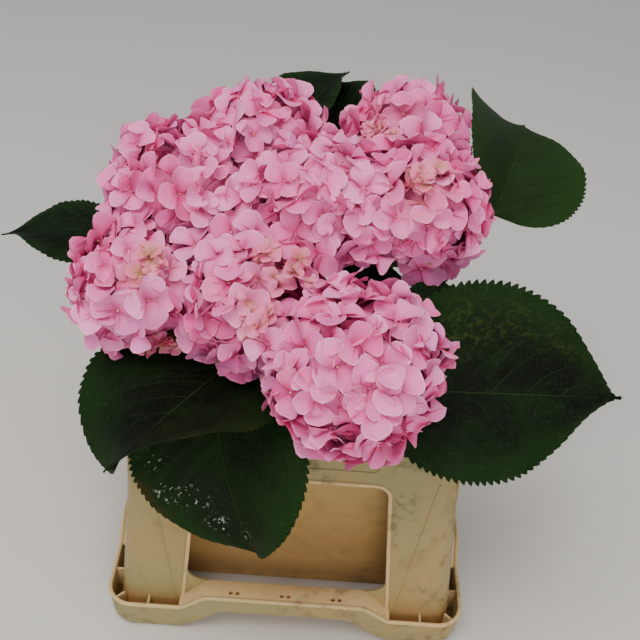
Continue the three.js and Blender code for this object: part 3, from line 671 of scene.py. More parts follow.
def stem_finish():
    """Half-woody green stems with lengthwise ridges and small dark pores."""
    finish, nodes, shader = new_finish("stems", 0.6, 0.3)
    tones = colours(STEM_TONES)
    around, _ = nodes.surface()
    base = nodes.blend(nodes.patches((30.0, 30.0, 9.0), 0.35, 0.7), tones["green"], tones["light"])
    base = nodes.over(base, tones["woody"], nodes.step(nodes.height(), 0.26, 0.02), 0.5)
    base = nodes.over(base, tones["pore"], nodes.patches((420.0, 420.0, 140.0), 0.66, 0.7), 0.7)
    ridges = nodes.math("SINE", nodes.times(around, 30.0))
    relief = nodes.math("MULTIPLY_ADD", ridges, 0.15, nodes.grain(500.0, 90.0, 0.4))
    lay(nodes, shader, base, relief, 0.0008, 0.6)
    return finish


# ---------------------------------------------------------------- container
def outline_at(low, high, share):
    """The outline between two others."""
    return mix(low[0], high[0], share), low[1] * (1 - share) + high[1] * share


def ring(outline, z, grow=0.0, steps=CORNER_STEPS):
    """A level ring with rounded corners, grown outwards by grow."""
    (half_width, half_depth), corner = outline
    angles = np.arange(4)[:, None] * np.pi / 2 + np.linspace(0, np.pi / 2, steps + 1)
    sign_x = np.array([1, -1, -1, 1])[:, None]
    sign_y = np.array([1, 1, -1, -1])[:, None]
    x = sign_x * (half_width - corner) + (corner + grow) * np.cos(angles)
    y = sign_y * (half_depth - corner) + (corner + grow) * np.sin(angles)
    return np.stack([x.ravel(), y.ravel(), np.full(x.size, float(z))], 1)


def ring_body(shape, rings, closed=False, **values):
    """Adds a body through rings to a shape: a closed section all the way round, or capped at both ends."""
    shape.add(np.concatenate(rings), tube_faces(len(rings), len(rings[0]), closed), **values)


def make_tub(finish):
    """The tub as one body: up its outer wall, over its rounded lip and down its inner wall to the floor."""
    rise, wall = RIM["height"], TUB["wall"]

    def level(z, grow=0.0):
        """One ring of the tub's wall."""
        return ring(outline_at(TUB["foot"], TUB["top"], z / rise), z, grow)

    foot = [(0.0, -4.0), (0.4, -1.6), (1.6, -0.4), (4.0, 0.0)]
    outer = [(z,) for z in np.linspace(30, rise - 1.2, 9)]
    lip = [(rise - 0.3, -0.4), (rise, -1.2), (rise, -wall + 1.2), (rise - 0.3, -wall + 0.4),
           (rise - 1.2, -wall)]
    inner = [(z, -wall) for z in (200, 100, TUB["floor"] + 6)]
    floor = [(TUB["floor"] + 2, -wall - 1), (TUB["floor"], -wall - 5)]
    rings = [level(*place) for place in foot + outer + lip + inner + floor]
    shape = Shape("depth")
    heights = np.concatenate([r[:, 2] for r in rings])
    # Painted shade: the tub turns warmer towards its floor.
    ring_body(shape, rings, depth=np.clip(0.75 - heights / 500, 0, 1))
    return dress(shape.build("tub_wall"), finish, "tub", "tub")


def window_frame(side, z):
    """Half-width of a side's window at a height: it narrows upwards, with rounded corners at its top."""
    low, high = side["window"]
    straight_end = side["top"] - side["corner"]
    if z >= straight_end:
        t = 1 - math.sqrt(max(0.0, 1 - (min(z, side["top"]) - straight_end) / side["corner"]))
        return high - side["corner"] * t * t
    return low + (high - low) * (z + 1) / (straight_end + 1)


def window_edge(side, z):
    """Half-width of the opening itself, which a web rounds off over the ledge."""
    reach, rise = side["fillet"]
    left = 1 - min(max(z - LEDGE_HEIGHT, 0), rise) / rise
    return window_frame(side, z) - reach * (1 - math.sqrt(1 - left ** 2))


def crease_place(side, z):
    """How far along a side the crease across its legs lies at a height."""
    return mix(*side["crease"], (z - CREASE["from"]) / (CREASE["to"] - CREASE["from"]))


def dent(side, along, z):
    """How far a leg's face is set back, between the crease across it and the window."""
    return CREASE["slope"] * max(0.0, crease_place(side, z) - max(abs(along), side["panel"]))


def leg_outline(z):
    """The half-width, half-depth and corner radius of the legs' wall at a height."""
    (half_width, half_depth), corner = outline_at(
        LEGS["foot"], LEGS["top"], (z - LEGS["low"]) / (LEGS["high"] - LEGS["low"]))
    return half_width, half_depth, corner


def leg_rows():
    """Heights of the rows of the legs' wall: close together where a corner is rounded."""
    side = SIDES["long"]
    sill = LEDGE_HEIGHT + side["fillet"][1] * (1 - np.cos(np.linspace(0, np.pi / 2, 7)))
    arch = side["top"] - side["corner"] * (1 - np.sin(np.linspace(0, np.pi / 2, 7)))
    return np.concatenate([[LEGS["low"], 20, FOOT_HEIGHT], sill, [110, 150], arch,
                           [222, 232, 260, LEGS["high"]]])


def leg_columns(side, z, end):
    """Where the columns of one leg's face stand between the window and the corner, with one on the crease."""
    edge = window_edge(side, z)
    crease = min(max(crease_place(side, z), edge + 2), end - 1)
    return np.concatenate([np.linspace(edge, crease, 4), np.linspace(crease, end, 4)[1:]])


def leg_quarter(z):
    """One level of the wall of one leg, from a long side's window to a short side's."""
    half_width, half_depth, corner = leg_outline(z)
    long_side, short_side = SIDES["long"], SIDES["short"]
    front = [(x, half_depth - dent(long_side, x, z)) for x in leg_columns(long_side, z, half_width - corner)]
    flank = [(half_width - dent(short_side, y, z), y)
             for y in leg_columns(short_side, z, half_depth - corner)]
    turn = [(half_width - corner + corner * math.sin(a), half_depth - corner + corner * math.cos(a))
            for a in np.linspace(0, np.pi / 2, CORNER_STEPS + 1)[1:-1]]
    return np.array(front + turn + flank[::-1])


def make_leg_wall():
    """The wall of the legs and of the lintels over the windows: one surface that gets its thickness last."""
    rows = leg_rows()
    shares = np.linspace(0, 1, LEGS["lintel_columns"] + 2)[1:-1]
    points, over_window = [], []
    for z in rows:
        legs = [leg_quarter(z) * signs for signs in ((1, 1), (1, -1), (-1, -1), (-1, 1))]
        legs = [leg[::-1] if i % 2 else leg for i, leg in enumerate(legs)]
        over_window = []
        for leg, following in zip(legs, legs[1:] + legs[:1]):
            lintel = [mix(leg[-1], following[0], share) for share in shares]
            points += [(x, y, z) for x, y in [*leg, *lintel]]
            over_window += [False] * len(leg) + [True] * len(lintel)
    index = np.arange(len(points)).reshape(len(rows), -1)
    index = np.concatenate([index, index[:, :1]], 1)
    over_window = np.array(over_window + over_window[:1])
    crosses = over_window[:-1] | over_window[1:]
    below = rows[:-1] < SIDES["long"]["top"] - 0.01
    keep = ~(below[:, None] & crosses[None, :])
    faces = np.array(quads(index))[keep.ravel()]
    used, faces = np.unique(faces, return_inverse=True)
    points, faces = np.array(points)[used], faces.reshape(-1, 4).tolist()
    # Painted shade: the legs turn warmer below the rim of the pockets.
    depth = np.clip((FOOT_HEIGHT + 6 - points[:, 2]) / 40, 0, 1)
    wall = Shape("depth").add(points, faces, depth=depth).build("leg_wall")
    return thickened(wall, LEGS["wall"], LEGS["round"])


def thickened(piece, wall, round_edge):
    """A surface with its wall put on inwards and its edges rounded."""
    solidify = piece.modifiers.new("wall", "SOLIDIFY")
    solidify.thickness = wall * MM
    solidify.offset = -1
    solidify.use_even_offset = True
    bevel = piece.modifiers.new("rounded edges", "BEVEL")
    bevel.width = round_edge * MM
    bevel.segments = 2
    bevel.limit_method = "ANGLE"
    bevel.angle_limit = math.radians(50)
    return settled(piece)


def eased(along, flat, end, start_value, end_value, ease=4.0):
    """A height that is start_value up to flat and end_value past end, with its two knees rounded."""
    samples = np.abs(along)[:, None] + np.linspace(-ease, ease, 9)
    share = np.clip((samples - flat) / (end - flat), 0, 1)
    return (start_value + (end_value - start_value) * share).mean(1)


def skirt_path():
    """Places all round the skirt: the side each is on, how far along it, and a unit outline to grow."""
    (half_width, half_depth), corner = SKIRT["profile"][2][1:]
    long_run = np.arange(-(half_width - corner), half_width - corner + 1, 3.44)
    short_run = np.arange(-(half_depth - corner), half_depth - corner + 1, 3.05)
    turn = np.linspace(0, np.pi / 2, CORNER_STEPS + 1)[1:-1]
    places = []
    for quarter in range(4):
        name, run = ("short", short_run) if quarter % 2 == 0 else ("long", long_run)
        places += [(quarter, name, along, 0.0) for along in run]
        places += [(quarter, name, run[-1], angle) for angle in turn]
    return places


def skirt_level(places, z_of):
    """The outer points of the skirt at the heights z_of, one for each place."""
    heights, halves, corners = zip(*SKIRT["profile"])
    points = []
    for (quarter, _, along, angle), z in zip(places, z_of):
        half_width, half_depth = (np.interp(z, heights, half) for half in zip(*halves))
        corner = np.interp(z, heights, corners)
        ahead, aside = (half_width, half_depth) if quarter % 2 == 0 else (half_depth, half_width)
        out, sideways = ahead, along
        if angle:
            out = ahead - corner + corner * math.cos(angle)
            sideways = aside - corner + corner * math.sin(angle)
        turn = quarter * np.pi / 2
        points.append((out * math.cos(turn) - sideways * math.sin(turn),
                       out * math.sin(turn) + sideways * math.cos(turn), z))
    return np.array(points)


def make_skirt():
    """The wall round the foot with its arches, and the bead along its top edge."""
    places = skirt_path()
    names, along, angles = (np.array(column) for column in list(zip(*places))[1:])
    top, bottom = np.full(len(places), FOOT_HEIGHT), np.zeros(len(places))
    for name, side in SIDES.items():
        here = (names == name) & (angles == 0)
        top[here] = eased(along[here], *side["ledge"], LEDGE_HEIGHT, FOOT_HEIGHT)
        bottom[here] = eased(along[here], *side["arch"], ARCH_HEIGHT, 0)
    shares = np.linspace(0, 1, SKIRT["rows"])
    levels = [skirt_level(places, bottom + (top - bottom) * share) for share in shares]
    faces = tube_faces(len(levels), len(places), capped=False)
    wall = Shape("depth").add(np.concatenate(levels), faces).build("skirt_wall")
    wall = thickened(wall, SKIRT["wall"], SKIRT["round"])
    edge = levels[-1] - np.array([0, 0, 0.8])
    inwards = edge.copy()
    inwards[:, :2] -= 1.2 * edge[:, :2] / np.linalg.norm(edge[:, :2], axis=1)[:, None]
    points, faces, spots = sweep(inwards, SKIRT["bead"], 8, closed=True)
    # The bead along the skirt's top edge takes painted highlight.
    bead = Shape("depth", "bright").add(points, faces, spots, bright=0.8).build("skirt_bead")
    return [wall, bead]


def side_frame(name, sign):
    """Turns (along, outwards, up) of a side into the container's axes."""
    if name == "long":
        return lambda p: np.stack([p[..., 0] * -sign, p[..., 1] * sign, p[..., 2]], -1)
    return lambda p: np.stack([p[..., 1] * sign, p[..., 0] * sign, p[..., 2]], -1)


def hole_places(sign):
    """The middles of the holes in the ledge of one long side."""
    y = sign * (SIDES["long"]["outside"] - LEDGE_HOLE["back"])
    return [(x + step * LEDGE_HOLE["spacing"], y) for x in LEDGE_HOLE["at"] for step in (-0.5, 0.5)]


def make_ledge(name, sign):
    """The raised bar between two feet: a shelf with a rounded inner edge and a wall below it."""
    side = SIDES[name]
    outside = side["outside"]
    flat, end = side["ledge"]
    stations = np.linspace(-end - 2, end + 2, 61)
    heights = eased(stations, flat, end, LEDGE_HEIGHT, FOOT_HEIGHT - 1)
    inner = outside - side["depth"]
    section = [(outside - 1.0, -0.6), (outside - 6, 0.0), (inner + 3, 0.0), (inner + 0.9, -0.9),
               (inner, -3.0), (inner, -22.0), (inner + 3.2, -22.0), (inner + 3.2, -5.0),
               (inner + 5, -3.4), (outside - 6, -3.4), (outside - 1.0, -4.0)]
    rows = np.array([[(x, out, max(height + drop, 1.0)) for out, drop in section]
                     for x, height in zip(stations, heights)])
    index = np.arange(rows.shape[0] * len(section)).reshape(-1, len(section))
    index = np.concatenate([index, index[:, :1]], 1)
    faces = quads(index) + [index[0, :-1].tolist(), index[-1, :-1][::-1].tolist()]
    ledge = Shape("depth", "bright").add(side_frame(name, sign)(rows), faces).build(f"ledge_{name}")
    fix_facing(ledge)
    bits = [drill(ledge, x, y) for x, y in hole_places(sign)] if name == "long" else []
    ledge = settled(ledge)
    for bit in bits:
        bpy.data.objects.remove(bit)
    # The whole ledge is painted highlight. The rims of the holes are new points, so the tint comes after
    # them.
    tint = ledge.data.attributes["bright"].data
    tint.foreach_set("value", np.ones(len(tint), np.float32))
    return ledge


def fix_facing(piece):
    """Turns a closed body's faces outwards, whatever mirror made it."""
    mesh = bmesh.new()
    mesh.from_mesh(piece.data)
    bmesh.ops.recalc_face_normals(mesh, faces=mesh.faces)
    mesh.to_mesh(piece.data)
    mesh.free()


def drill(piece, x, y):
    """Sets a round hole straight down through the top of a piece, and hands back the bit that cuts it."""
    path = [(x, y, LEDGE_HEIGHT - 9), (x, y, LEDGE_HEIGHT + 4)]
    points, faces, spots = sweep(path, LEDGE_HOLE["radius"], 16, start=(1, 0, 0))
    bit = Shape().add(points, faces, spots).build("drill")
    bit.hide_render = True
    hole = piece.modifiers.new("hole", "BOOLEAN")
    hole.operation = "DIFFERENCE"
    hole.solver = "EXACT"
    hole.object = bit
    return bit


def on_leg(name, x, z, proud=0.0):
    """A point on the outer face of the legs' wall as (along, outwards, up)."""
    half_width, half_depth, _ = leg_outline(z)
    out = half_depth if name == "long" else half_width
    return (x, out - dent(SIDES[name], x, z) + proud, z)


def raised_line(name, sign, path, radius, bright=0.0):
    """A rounded ridge along a path on one side of the container, with a share of painted highlight."""
    path = side_frame(name, sign)(np.array(path))
    points, faces, spots = sweep(path, radius, 8, start=(0.3, 0.3, 1))
    return Shape("depth", "bright").add(points, faces, spots, bright=bright).build("raised_line")


def make_raised_lines(name, sign):
    """The bead round a window, the frame on the lintel over it and the ridge across each leg."""
    side = SIDES[name]
    top, out, proud = side["top"], WINDOW_BEAD["out"], WINDOW_BEAD["proud"]
    heights = [z for z in leg_rows() if FOOT_HEIGHT - 1 <= z <= top + 0.01]
    rising = [on_leg(name, -window_frame(side, z) - out, z + (out if z > 200 else 0), proud) for z in heights]
    reach = window_frame(side, top)
    across = [on_leg(name, x, top + out, proud) for x in np.linspace(-reach, reach, 9)[1:-1]]
    falling = [(-x, y, z) for x, y, z in rising[::-1]]
    # The bead round the window takes painted highlight.
    lines = [raised_line(name, sign, rising + across + falling, WINDOW_BEAD["radius"], bright=0.9)]
    half, low, high = PANEL["half"][name], PANEL["low"], PANEL["high"]
    panel = [on_leg(name, -half, z) for z in np.linspace(high, low + 4, 8)]
    panel += [on_leg(name, x, low) for x in np.linspace(-half + 4, half - 4, 12)]
    panel += [on_leg(name, half, z) for z in np.linspace(low + 4, high, 8)]
    lines.append(raised_line(name, sign, panel, PANEL["radius"]))
    for hand in (-1, 1):
        heights = [mix(CREASE["from"], CREASE["to"], share) for share in np.linspace(0, 1, 12)]
        ridge = [on_leg(name, hand * crease_place(side, z), z, -0.2) for z in heights]
        lines.append(raised_line(name, sign, ridge, CREASE["ridge"]))
    return lines


def make_rim():
    """The flange round the mouth with its turned-down lip."""
    height, wall, lip = RIM["height"], RIM["wall"], RIM["lip"]
    outer, inner = (RIM["half"], RIM["corner"]), TUB["top"]
    section = [(outer, height - lip, 0), (outer, height - 3, 0), (outer, height - 0.9, -0.9),
               (outer, height, -3), (inner, height, 3), (inner, height - 0.5, 0.8), (inner, height - 2, 0.3),
               (inner, height - wall, 0.3), (outer, height - wall, -wall), (outer, height - lip, -wall + 0.6)]
    shape = Shape("depth")
    ring_body(shape, [ring(outline, z, grow) for outline, z, grow in section], closed=True)
    return shape.build("rim_flange")


def slab(shape, middle, half, heights, turn=0.0, **values):
    """An upright plate with softly chamfered edges, turned about its middle by an angle in degrees."""
    low, high = heights
    ease = 0.5
    angle = math.radians(turn)
    rotation = np.array([[math.cos(angle), math.sin(angle)], [-math.sin(angle), math.cos(angle)]])
    rings = []
    for z, inset in ((low, ease), (low + ease, 0), (high - ease, 0), (high, ease)):
        level = ring((np.array(half) - inset, 0.6), z, steps=2)
        level[:, :2] = level[:, :2] @ rotation + middle
        rings.append(level)
    ring_body(shape, rings, **values)


def add_foot_plates(shape):
    """The flat plates under the four feet."""
    inset = SKIRT["plate_inset"]
    (half_width, half_depth), corner = SKIRT["profile"][0][1:]
    inner_x, inner_y = half_width - SKIRT["plate_reach"], half_depth - SKIRT["plate_reach"]
    long_end, short_end = (side["arch"][1] - inset for side in SIDES.values())
    outline = [(long_end, half_depth - inset)]
    outline += [(half_width - corner + (corner - inset) * math.sin(a),
                 half_depth - corner + (corner - inset) * math.cos(a))
                for a in np.linspace(0, np.pi / 2, CORNER_STEPS + 1)]
    outline += [(half_width - inset, short_end), (inner_x, short_end), (inner_x, inner_y - 6),
                (inner_x - 2, inner_y - 2), (inner_x - 6, inner_y), (long_end, inner_y)]
    for signs in CORNERS:
        flat = np.array(outline) * signs
        if signs[0] == signs[1]:
            flat = flat[::-1]
        rings = [np.column_stack([flat, np.full(len(flat), z)]) for z in (0.0, SKIRT["plate"])]
        # The plates take a little painted shade.
        ring_body(shape, rings, depth=0.3)


def add_ribs(shape):
    """The ribs in the pocket round each foot."""
    for sx, sy in CORNERS:
        for (x, y), half, turn in RIBS:
            # The ribs take painted highlight.
            slab(shape, (sx * x, sy * y), half, RIB_HEIGHTS, sx * sy * turn, bright=0.7)


def add_bosses(shape):
    """The closed bosses under the holes in the ledges."""
    turns = np.linspace(0, 2 * np.pi, 17)[:-1]
    for x, y in hole_places(-1) + hole_places(1):
        rings = [np.column_stack([x + radius * np.cos(turns), y + radius * np.sin(turns),
                                  np.full(len(turns), LEDGE_HEIGHT - drop)])
                 for radius, drop in LEDGE_HOLE["boss"]]
        # The bosses under the ledges are wholly in painted shade.
        ring_body(shape, rings, depth=1.0)


def make_stand(finish):
    """The stand as one moulding: legs with lintels, skirt, rim, plates, ribs, raised lines and ledges."""
    shape = Shape("depth", "bright")
    add_foot_plates(shape)
    add_ribs(shape)
    add_bosses(shape)
    plates = shape.build("foot_plates")
    parts = [make_leg_wall(), *make_skirt(), make_rim(), plates]
    for name in SIDES:
        for sign in (-1, 1):
            parts += [*make_raised_lines(name, sign), make_ledge(name, sign)]
    stand = joined("stand_moulding", parts)
    return dress(stand, finish, "stand", "stand_foot", "stand_legs", "stand_rim")


# ---------------------------------------------------------------- stems
def bloom_axis(bloom):
    """The direction that a bloom faces."""
    x, y, z = bloom["centre"]
    return unit((x, y, z - LEAN_FROM))


def stem_path(bloom):
    """The middle of a stem from the tub's floor to the inside of its bloom."""
    foot = np.array([*bloom["foot"], STEM["foot"]])
    mouth = np.array([*bloom["mouth"], RIM["height"]], float)
    axis = bloom_axis(bloom)
    tip = np.array(bloom["centre"]) - axis * (bloom["radius"] * CORE + STEM["under"])
    control = mouth + unit(mouth - foot) * STEM["bend"] * np.linalg.norm(tip - mouth)
    rise = [mix(foot, mouth, s) for s in np.linspace(0, 1, 24, endpoint=False)]
    ends = [tip + axis * step for step in (4, 8, 13)]
    return np.concatenate([rise, quadratic(mouth, control, tip, 26), ends])


def stem_radius(height, top):
    """A stem's radius at a height, as it tapers up to its top."""
    return np.interp(height, [0, top], [STEM["foot_radius"], STEM["tip_radius"]])


def make_stem(name, bloom, finish):
    """A stem with a swelling at each joint."""
    path = stem_path(bloom)
    heights = path[:, 2]
    radii = stem_radius(heights, heights.max()) - 0.2
    for joint in STEM["joints"]:
        above = heights - joint - bloom["radius"] % 9
        radii = radii + STEM["joint_swell"] * np.exp(-(above / STEM["joint_reach"]) ** 2)
    shape = Shape().add(*sweep(path, radii, STEM["sides"], start=(1, 0, 0)))
    return dress(shape.build(f"stem_{name}_bark"), finish, "stem", f"stem_{name}")


def stem_at(bloom, height):
    """Where a stem is at a height, its direction there and its radius."""
    path = stem_path(bloom)
    after = int(np.argmax(path[:, 2] >= height))
    before = path[after - 1]
    share = (height - before[2]) / (path[after][2] - before[2])
    return mix(before, path[after], share), unit(path[after] - before), stem_radius(height, path[:, 2].max())


# ---------------------------------------------------------------- leaves
def blade_shape(s, point=1.0):
    """Half-width of a blade at a share of its length, as a share of half its greatest width."""
    return np.sin(np.pi * np.clip(s, 0, 1) ** 0.78).clip(0, 1) ** (0.52 + point * s ** 3)


def blade_points(leaf, s, v, lift=0.0, teeth=0.0):
    """Points of a blade: s runs from base to tip, v from its right edge, -1, to its left edge, 1."""
    heading = unit(leaf["heading"])
    face = np.array(leaf["face"], float)
    face = unit(face - heading * (face @ heading))
    across = np.cross(face, heading)
    bend = math.radians(leaf["bend"])
    turn = bend * s
    middle = (np.array(leaf["base"]) + heading * (leaf["length"] * np.sin(turn) / bend)[..., None]
              - face * (leaf["length"] * (1 - np.cos(turn)) / bend)[..., None])
    middle = middle + across * (leaf["sway"] * leaf["length"] * s ** 2)[..., None]
    up = face * np.cos(turn)[..., None] + heading * np.sin(turn)[..., None]
    halves, folds, curls = (np.where(v < 0, *leaf[part]) for part in ("halves", "folds", "curls"))
    fold = np.radians(folds + curls * s ** 2)
    half = np.maximum(leaf["width"] / 2 * halves * blade_shape(s, leaf["point"]), LEAF["tip"]) + teeth
    return (middle + across * (v * half * np.cos(fold))[..., None]
            + up * (np.abs(v) * half * np.sin(fold) + lift)[..., None])


def quilt(s, v):
    """The bulge of the blade between its side veins, from 0 on a vein to 1."""
    root = s - np.abs(v) ** VEINS["curve"] * VEINS["sweep"] * (1 - 0.5 * s)
    phase = root * VEINS["count"] + np.where(v > 0, VEINS["stagger"], 0.0)
    return 0.5 + 0.5 * np.cos(2 * np.pi * phase)


def blade_grid(leaf):
    """Shares along and across a blade: three rows for each tooth, its notch, its belly and its point."""
    teeth = leaf["teeth"]
    s = ((np.arange(teeth)[:, None] + np.array([0.0, 0.5, 0.84])) / teeth).ravel()
    s = np.append(s, 1.0)
    saw = np.append(np.tile([0.0, 0.75, 1.0], teeth), 0.0)
    v = np.concatenate([[-1, -0.95, -0.86], np.linspace(-0.72, 0.72, 13), [0.86, 0.95, 1]])
    return s, saw, v


def leaf_lift(leaf, along, across, chance):
    """How far a blade stands off its plane: a wave and a ripple along its edge, and the quilting."""
    edge = np.abs(across)
    side_phase = np.where(across < 0, *(chance.uniform(0, 6.3) for _ in range(2)))
    length = leaf["length"]
    wave = LEAF["wave"] * length * edge ** 2.5 * np.sin(9 * along + side_phase) * np.sin(np.pi * along)
    ripple = LEAF["ripple"] * length * edge ** 4 * np.sin(31 * along + side_phase)
    bulge = (LEAF["quilt"] * quilt(along, across) * np.sin(np.pi * np.minimum(edge * 1.1, 1)) ** 0.7
             * np.sin(np.pi * along))
    return wave + ripple + bulge


def leaf_marks(leaf, along, across):
    """How strongly each kind of mark shows at every point of a blade."""
    marks = {kind: np.zeros(along.shape) for kind in ("yellow", "brown", "pale")}
    for kind, mark_s, mark_v, reach, strength in leaf["marks"]:
        near = np.exp(-((along - mark_s) ** 2 + (0.5 * (across - mark_v)) ** 2) / reach ** 2)
        marks[kind] = np.maximum(marks[kind], strength * near)
    return {kind: on_both(value) for kind, value in marks.items()}


def add_blade(shape, leaf, chance):
    """The toothed, quilted blade of a leaf."""
    s, saw, v = blade_grid(leaf)
    along, across = np.meshgrid(s, v, indexing="ij")
    edge = np.abs(across)
    tooth = LEAF["tooth"] * leaf["length"] * np.sqrt(blade_shape(along)).clip(0.55, 1)
    teeth = (saw[:, None] - 0.5) * tooth * (edge > 0.99) * (along > 0.04)
    slope = np.gradient(leaf["width"] / 2 * blade_shape(s), leaf["length"] * s)[:, None]
    steep = np.sqrt(1 + slope ** 2)
    margin = along - teeth * slope / steep / leaf["length"]
    lift = leaf_lift(leaf, along, across, chance)
    half = LEAF["thickness"] / 2 * (1 - edge ** 6)
    points, faces = two_sided(*(blade_points(leaf, margin, across, lift + side * half, teeth / steep)
                                for side in (1, -1)))
    places = on_both(np.stack([along, across * 0.5 + 0.5], -1))
    # Each point carries its leaf's share of painted light.
    shape.add(points, faces, places, light=leaf["light"], **leaf_marks(leaf, along, across))


def add_stalk(shape, leaf):
    """The stalk from the stem to the blade, which runs on under it as its midrib."""
    point, way, radius = stem_at(BLOOMS[leaf["stem"]], leaf["at"])
    base = np.array(leaf["base"], float)
    out = base - point
    out = unit(out - way * (out @ way))
    start = point + out * (radius - 1)
    control = start + out * STEM["bend"] * np.linalg.norm(base - start)
    stalk = quadratic(start, control, base, 14)[:-1]
    rib_s = np.linspace(0.02, 0.93, 26)
    rib_radii = np.linspace(LEAF["stalk"], LEAF["rib_end"], len(rib_s))
    rib = blade_points(leaf, rib_s, np.zeros(len(rib_s)), 0.3 - rib_radii)
    radii = np.concatenate([np.linspace(LEAF["stalk"] + 0.6, LEAF["stalk"], len(stalk)), rib_radii])
    sides = 10
    points, faces, _ = sweep(np.concatenate([stalk, rib]), radii, sides)
    along = np.repeat(np.concatenate([np.zeros(len(stalk)), rib_s]), sides)
    shape.add(points, faces, np.stack([along, np.full(len(along), 0.5)], 1))


def make_leaf(name, leaf, finish, chance):
    """A leaf with its stalk."""
    shape = Shape("yellow", "brown", "pale", "light")
    add_blade(shape, leaf, chance)
    add_stalk(shape, leaf)
    return dress(shape.build(f"leaf_{name}_blade", sharp=60), finish, "leaf", f"leaf_{name}")


# ---------------------------------------------------------------- blooms
def floret_kind(name, petals, cup, chance):
    """A floret of half-width 1: broad blunt petals that overlap round a small bead, in a shallow cup."""
    cells = np.linspace(-1, 1, PETAL["cells"] + 1)
    x, y = np.meshgrid(cells, cells)
    a = x * (1 - PETAL["squareness"] * y ** 2)
    b = y * (1 - PETAL["squareness"] * x ** 2)
    edge = np.maximum(np.abs(x), np.abs(y))
    shape = Shape("bead", "edge", "shade")
    for k in range(petals):
        length = chance.uniform(*PETAL["lengths"])
        width = chance.uniform(*PETAL["widths"][petals])
        along = 0.5 + 0.5 * b
        along = along + PETAL["point"] * np.clip(b, 0, 1) * (1 - np.abs(a)) ** 2
        sideways = a * width * (0.36 + 0.64 * np.clip(along / 0.55, 0, 1) ** 0.85)
        ruffle = (edge ** 3 * chance.uniform(0.03, 0.06)
                  * np.sin(3 * np.arctan2(b, a) + chance.uniform(0, 6.3)))
        rise = (0.22 * cup + chance.uniform(-0.1, 0.45)) * along - (0.1 + 0.22 * cup) * along ** 2
        trough = chance.uniform(0.0, 0.34) * a ** 2
        lift = rise + trough + ruffle + chance.uniform(-0.35, 0.35) * sideways + 0.045 * (k % 2)
        angle = 2 * np.pi * k / petals + chance.uniform(-0.16, 0.16)
        top = np.stack([along * length * np.cos(angle) - sideways * np.sin(angle),
                        along * length * np.sin(angle) + sideways * np.cos(angle), lift], -1)
        bottom = top - np.array([0, 0, 1.0]) * (PETAL["thickness"] * (1 - edge ** 3))[..., None]
        points, faces = two_sided(top, bottom)
        places = on_both(np.stack([0.5 + sideways / 1.4, along], -1))
        shape.add(points, [face[::-1] for face in faces], places, edge=on_both(edge),
                  shade=chance.uniform(0, 1))
    turns = np.arange(6) * np.pi / 3
    rings = [np.column_stack([r * np.cos(turns), r * np.sin(turns), np.full(6, z)]) for r, z in BEAD]
    ring_body(shape, rings, bead=1.0)
    return shape.build(name, scale=1.0, sharp=80)


def floret_tree():
    """Sets a floret on every place, turned as the place says, and gives the whole one finish."""
    tree = bpy.data.node_groups.new("set florets", "GeometryNodeTree")
    for name, kind in (("Places", "Geometry"), ("Florets", "Collection"), ("Half Width", "Float"),
                       ("Size Spread", "Float"), ("Seed", "Int"), ("Finish", "Material")):
        tree.interface.new_socket(name, in_out="INPUT", socket_type=f"NodeSocket{kind}")
    tree.interface.new_socket("Bloom", in_out="OUTPUT", socket_type="NodeSocketGeometry")
    nodes = Nodes(tree)
    given = nodes.add("NodeGroupInput").outputs
    kinds = nodes.out("GeometryNodeCollectionInfo", {
        "Collection": given["Florets"], "Separate Children": True, "Reset Children": True})
    turn, size = (nodes.out("GeometryNodeInputNamedAttribute", {"Name": name}, "Attribute", data_type=kind)
                  for name, kind in (("turn", "FLOAT_VECTOR"), ("size", "FLOAT")))
    low = nodes.math("SUBTRACT", 1.0, given["Size Spread"])
    high = nodes.math("ADD", 1.0, given["Size Spread"])
    chance = nodes.out("FunctionNodeRandomValue", {"Min": low, "Max": high, "Seed": given["Seed"]}, "Value",
                       data_type="FLOAT")
    half_width = nodes.times(size, chance, given["Half Width"])
    kind = nodes.out("FunctionNodeRandomValue", {
        "Min": 0, "Max": len(FLORET_KINDS) - 1, "Seed": given["Seed"]}, "Value", data_type="INT")
    placed = nodes.out("GeometryNodeInstanceOnPoints", {
        "Points": given["Places"], "Instance": kinds, "Pick Instance": True, "Instance Index": kind,
        "Rotation": turn, "Scale": half_width})
    whole = nodes.out("GeometryNodeRealizeInstances", {"Geometry": placed})
    finished = nodes.out("GeometryNodeSetMaterial", {"Geometry": whole, "Material": given["Finish"]})
    result = nodes.add("NodeGroupOutput")
    tree.links.new(finished, result.inputs["Bloom"])
    return tree


def way_at(polar, azimuth):
    """A direction by its angle from straight up and the angle that it lies at round that."""
    return (math.sin(polar) * math.cos(azimuth), math.sin(polar) * math.sin(azimuth), math.cos(polar))


def turn_to(axis):
    """The turn that brings straight up onto an axis."""
    return Vector((0, 0, 1)).rotation_difference(Vector(axis)).to_matrix()


def spread_ways(axis, count, reach, chance):
    """Directions spread evenly round an axis, down to an angle from it, each a little out of its place."""
    ways = []
    turn = turn_to(axis)
    for i in range(count):
        polar = math.acos(1 - 2 * (i + 0.5) / count)
        if polar > reach:
            break
        polar += chance.uniform(-0.06, 0.06)
        azimuth = i * math.pi * (3 - math.sqrt(5)) + chance.uniform(-0.15, 0.15)
        ways.append((np.array(turn @ Vector(way_at(polar, azimuth))), polar))
    return ways


def past_neighbour(own_name, point, slack):
    """Whether a point lies beyond the plane where its bloom meets a neighbour."""
    own = BLOOMS[own_name]
    from_own = np.sum((point - own["centre"]) ** 2) - own["radius"] ** 2
    for name, other in BLOOMS.items():
        if name == own_name:
            continue
        way = np.array(other["centre"]) - own["centre"]
        from_other = np.sum((point - other["centre"]) ** 2) - other["radius"] ** 2
        if from_own > from_other + 2 * slack * np.linalg.norm(way):
            return True
    return False


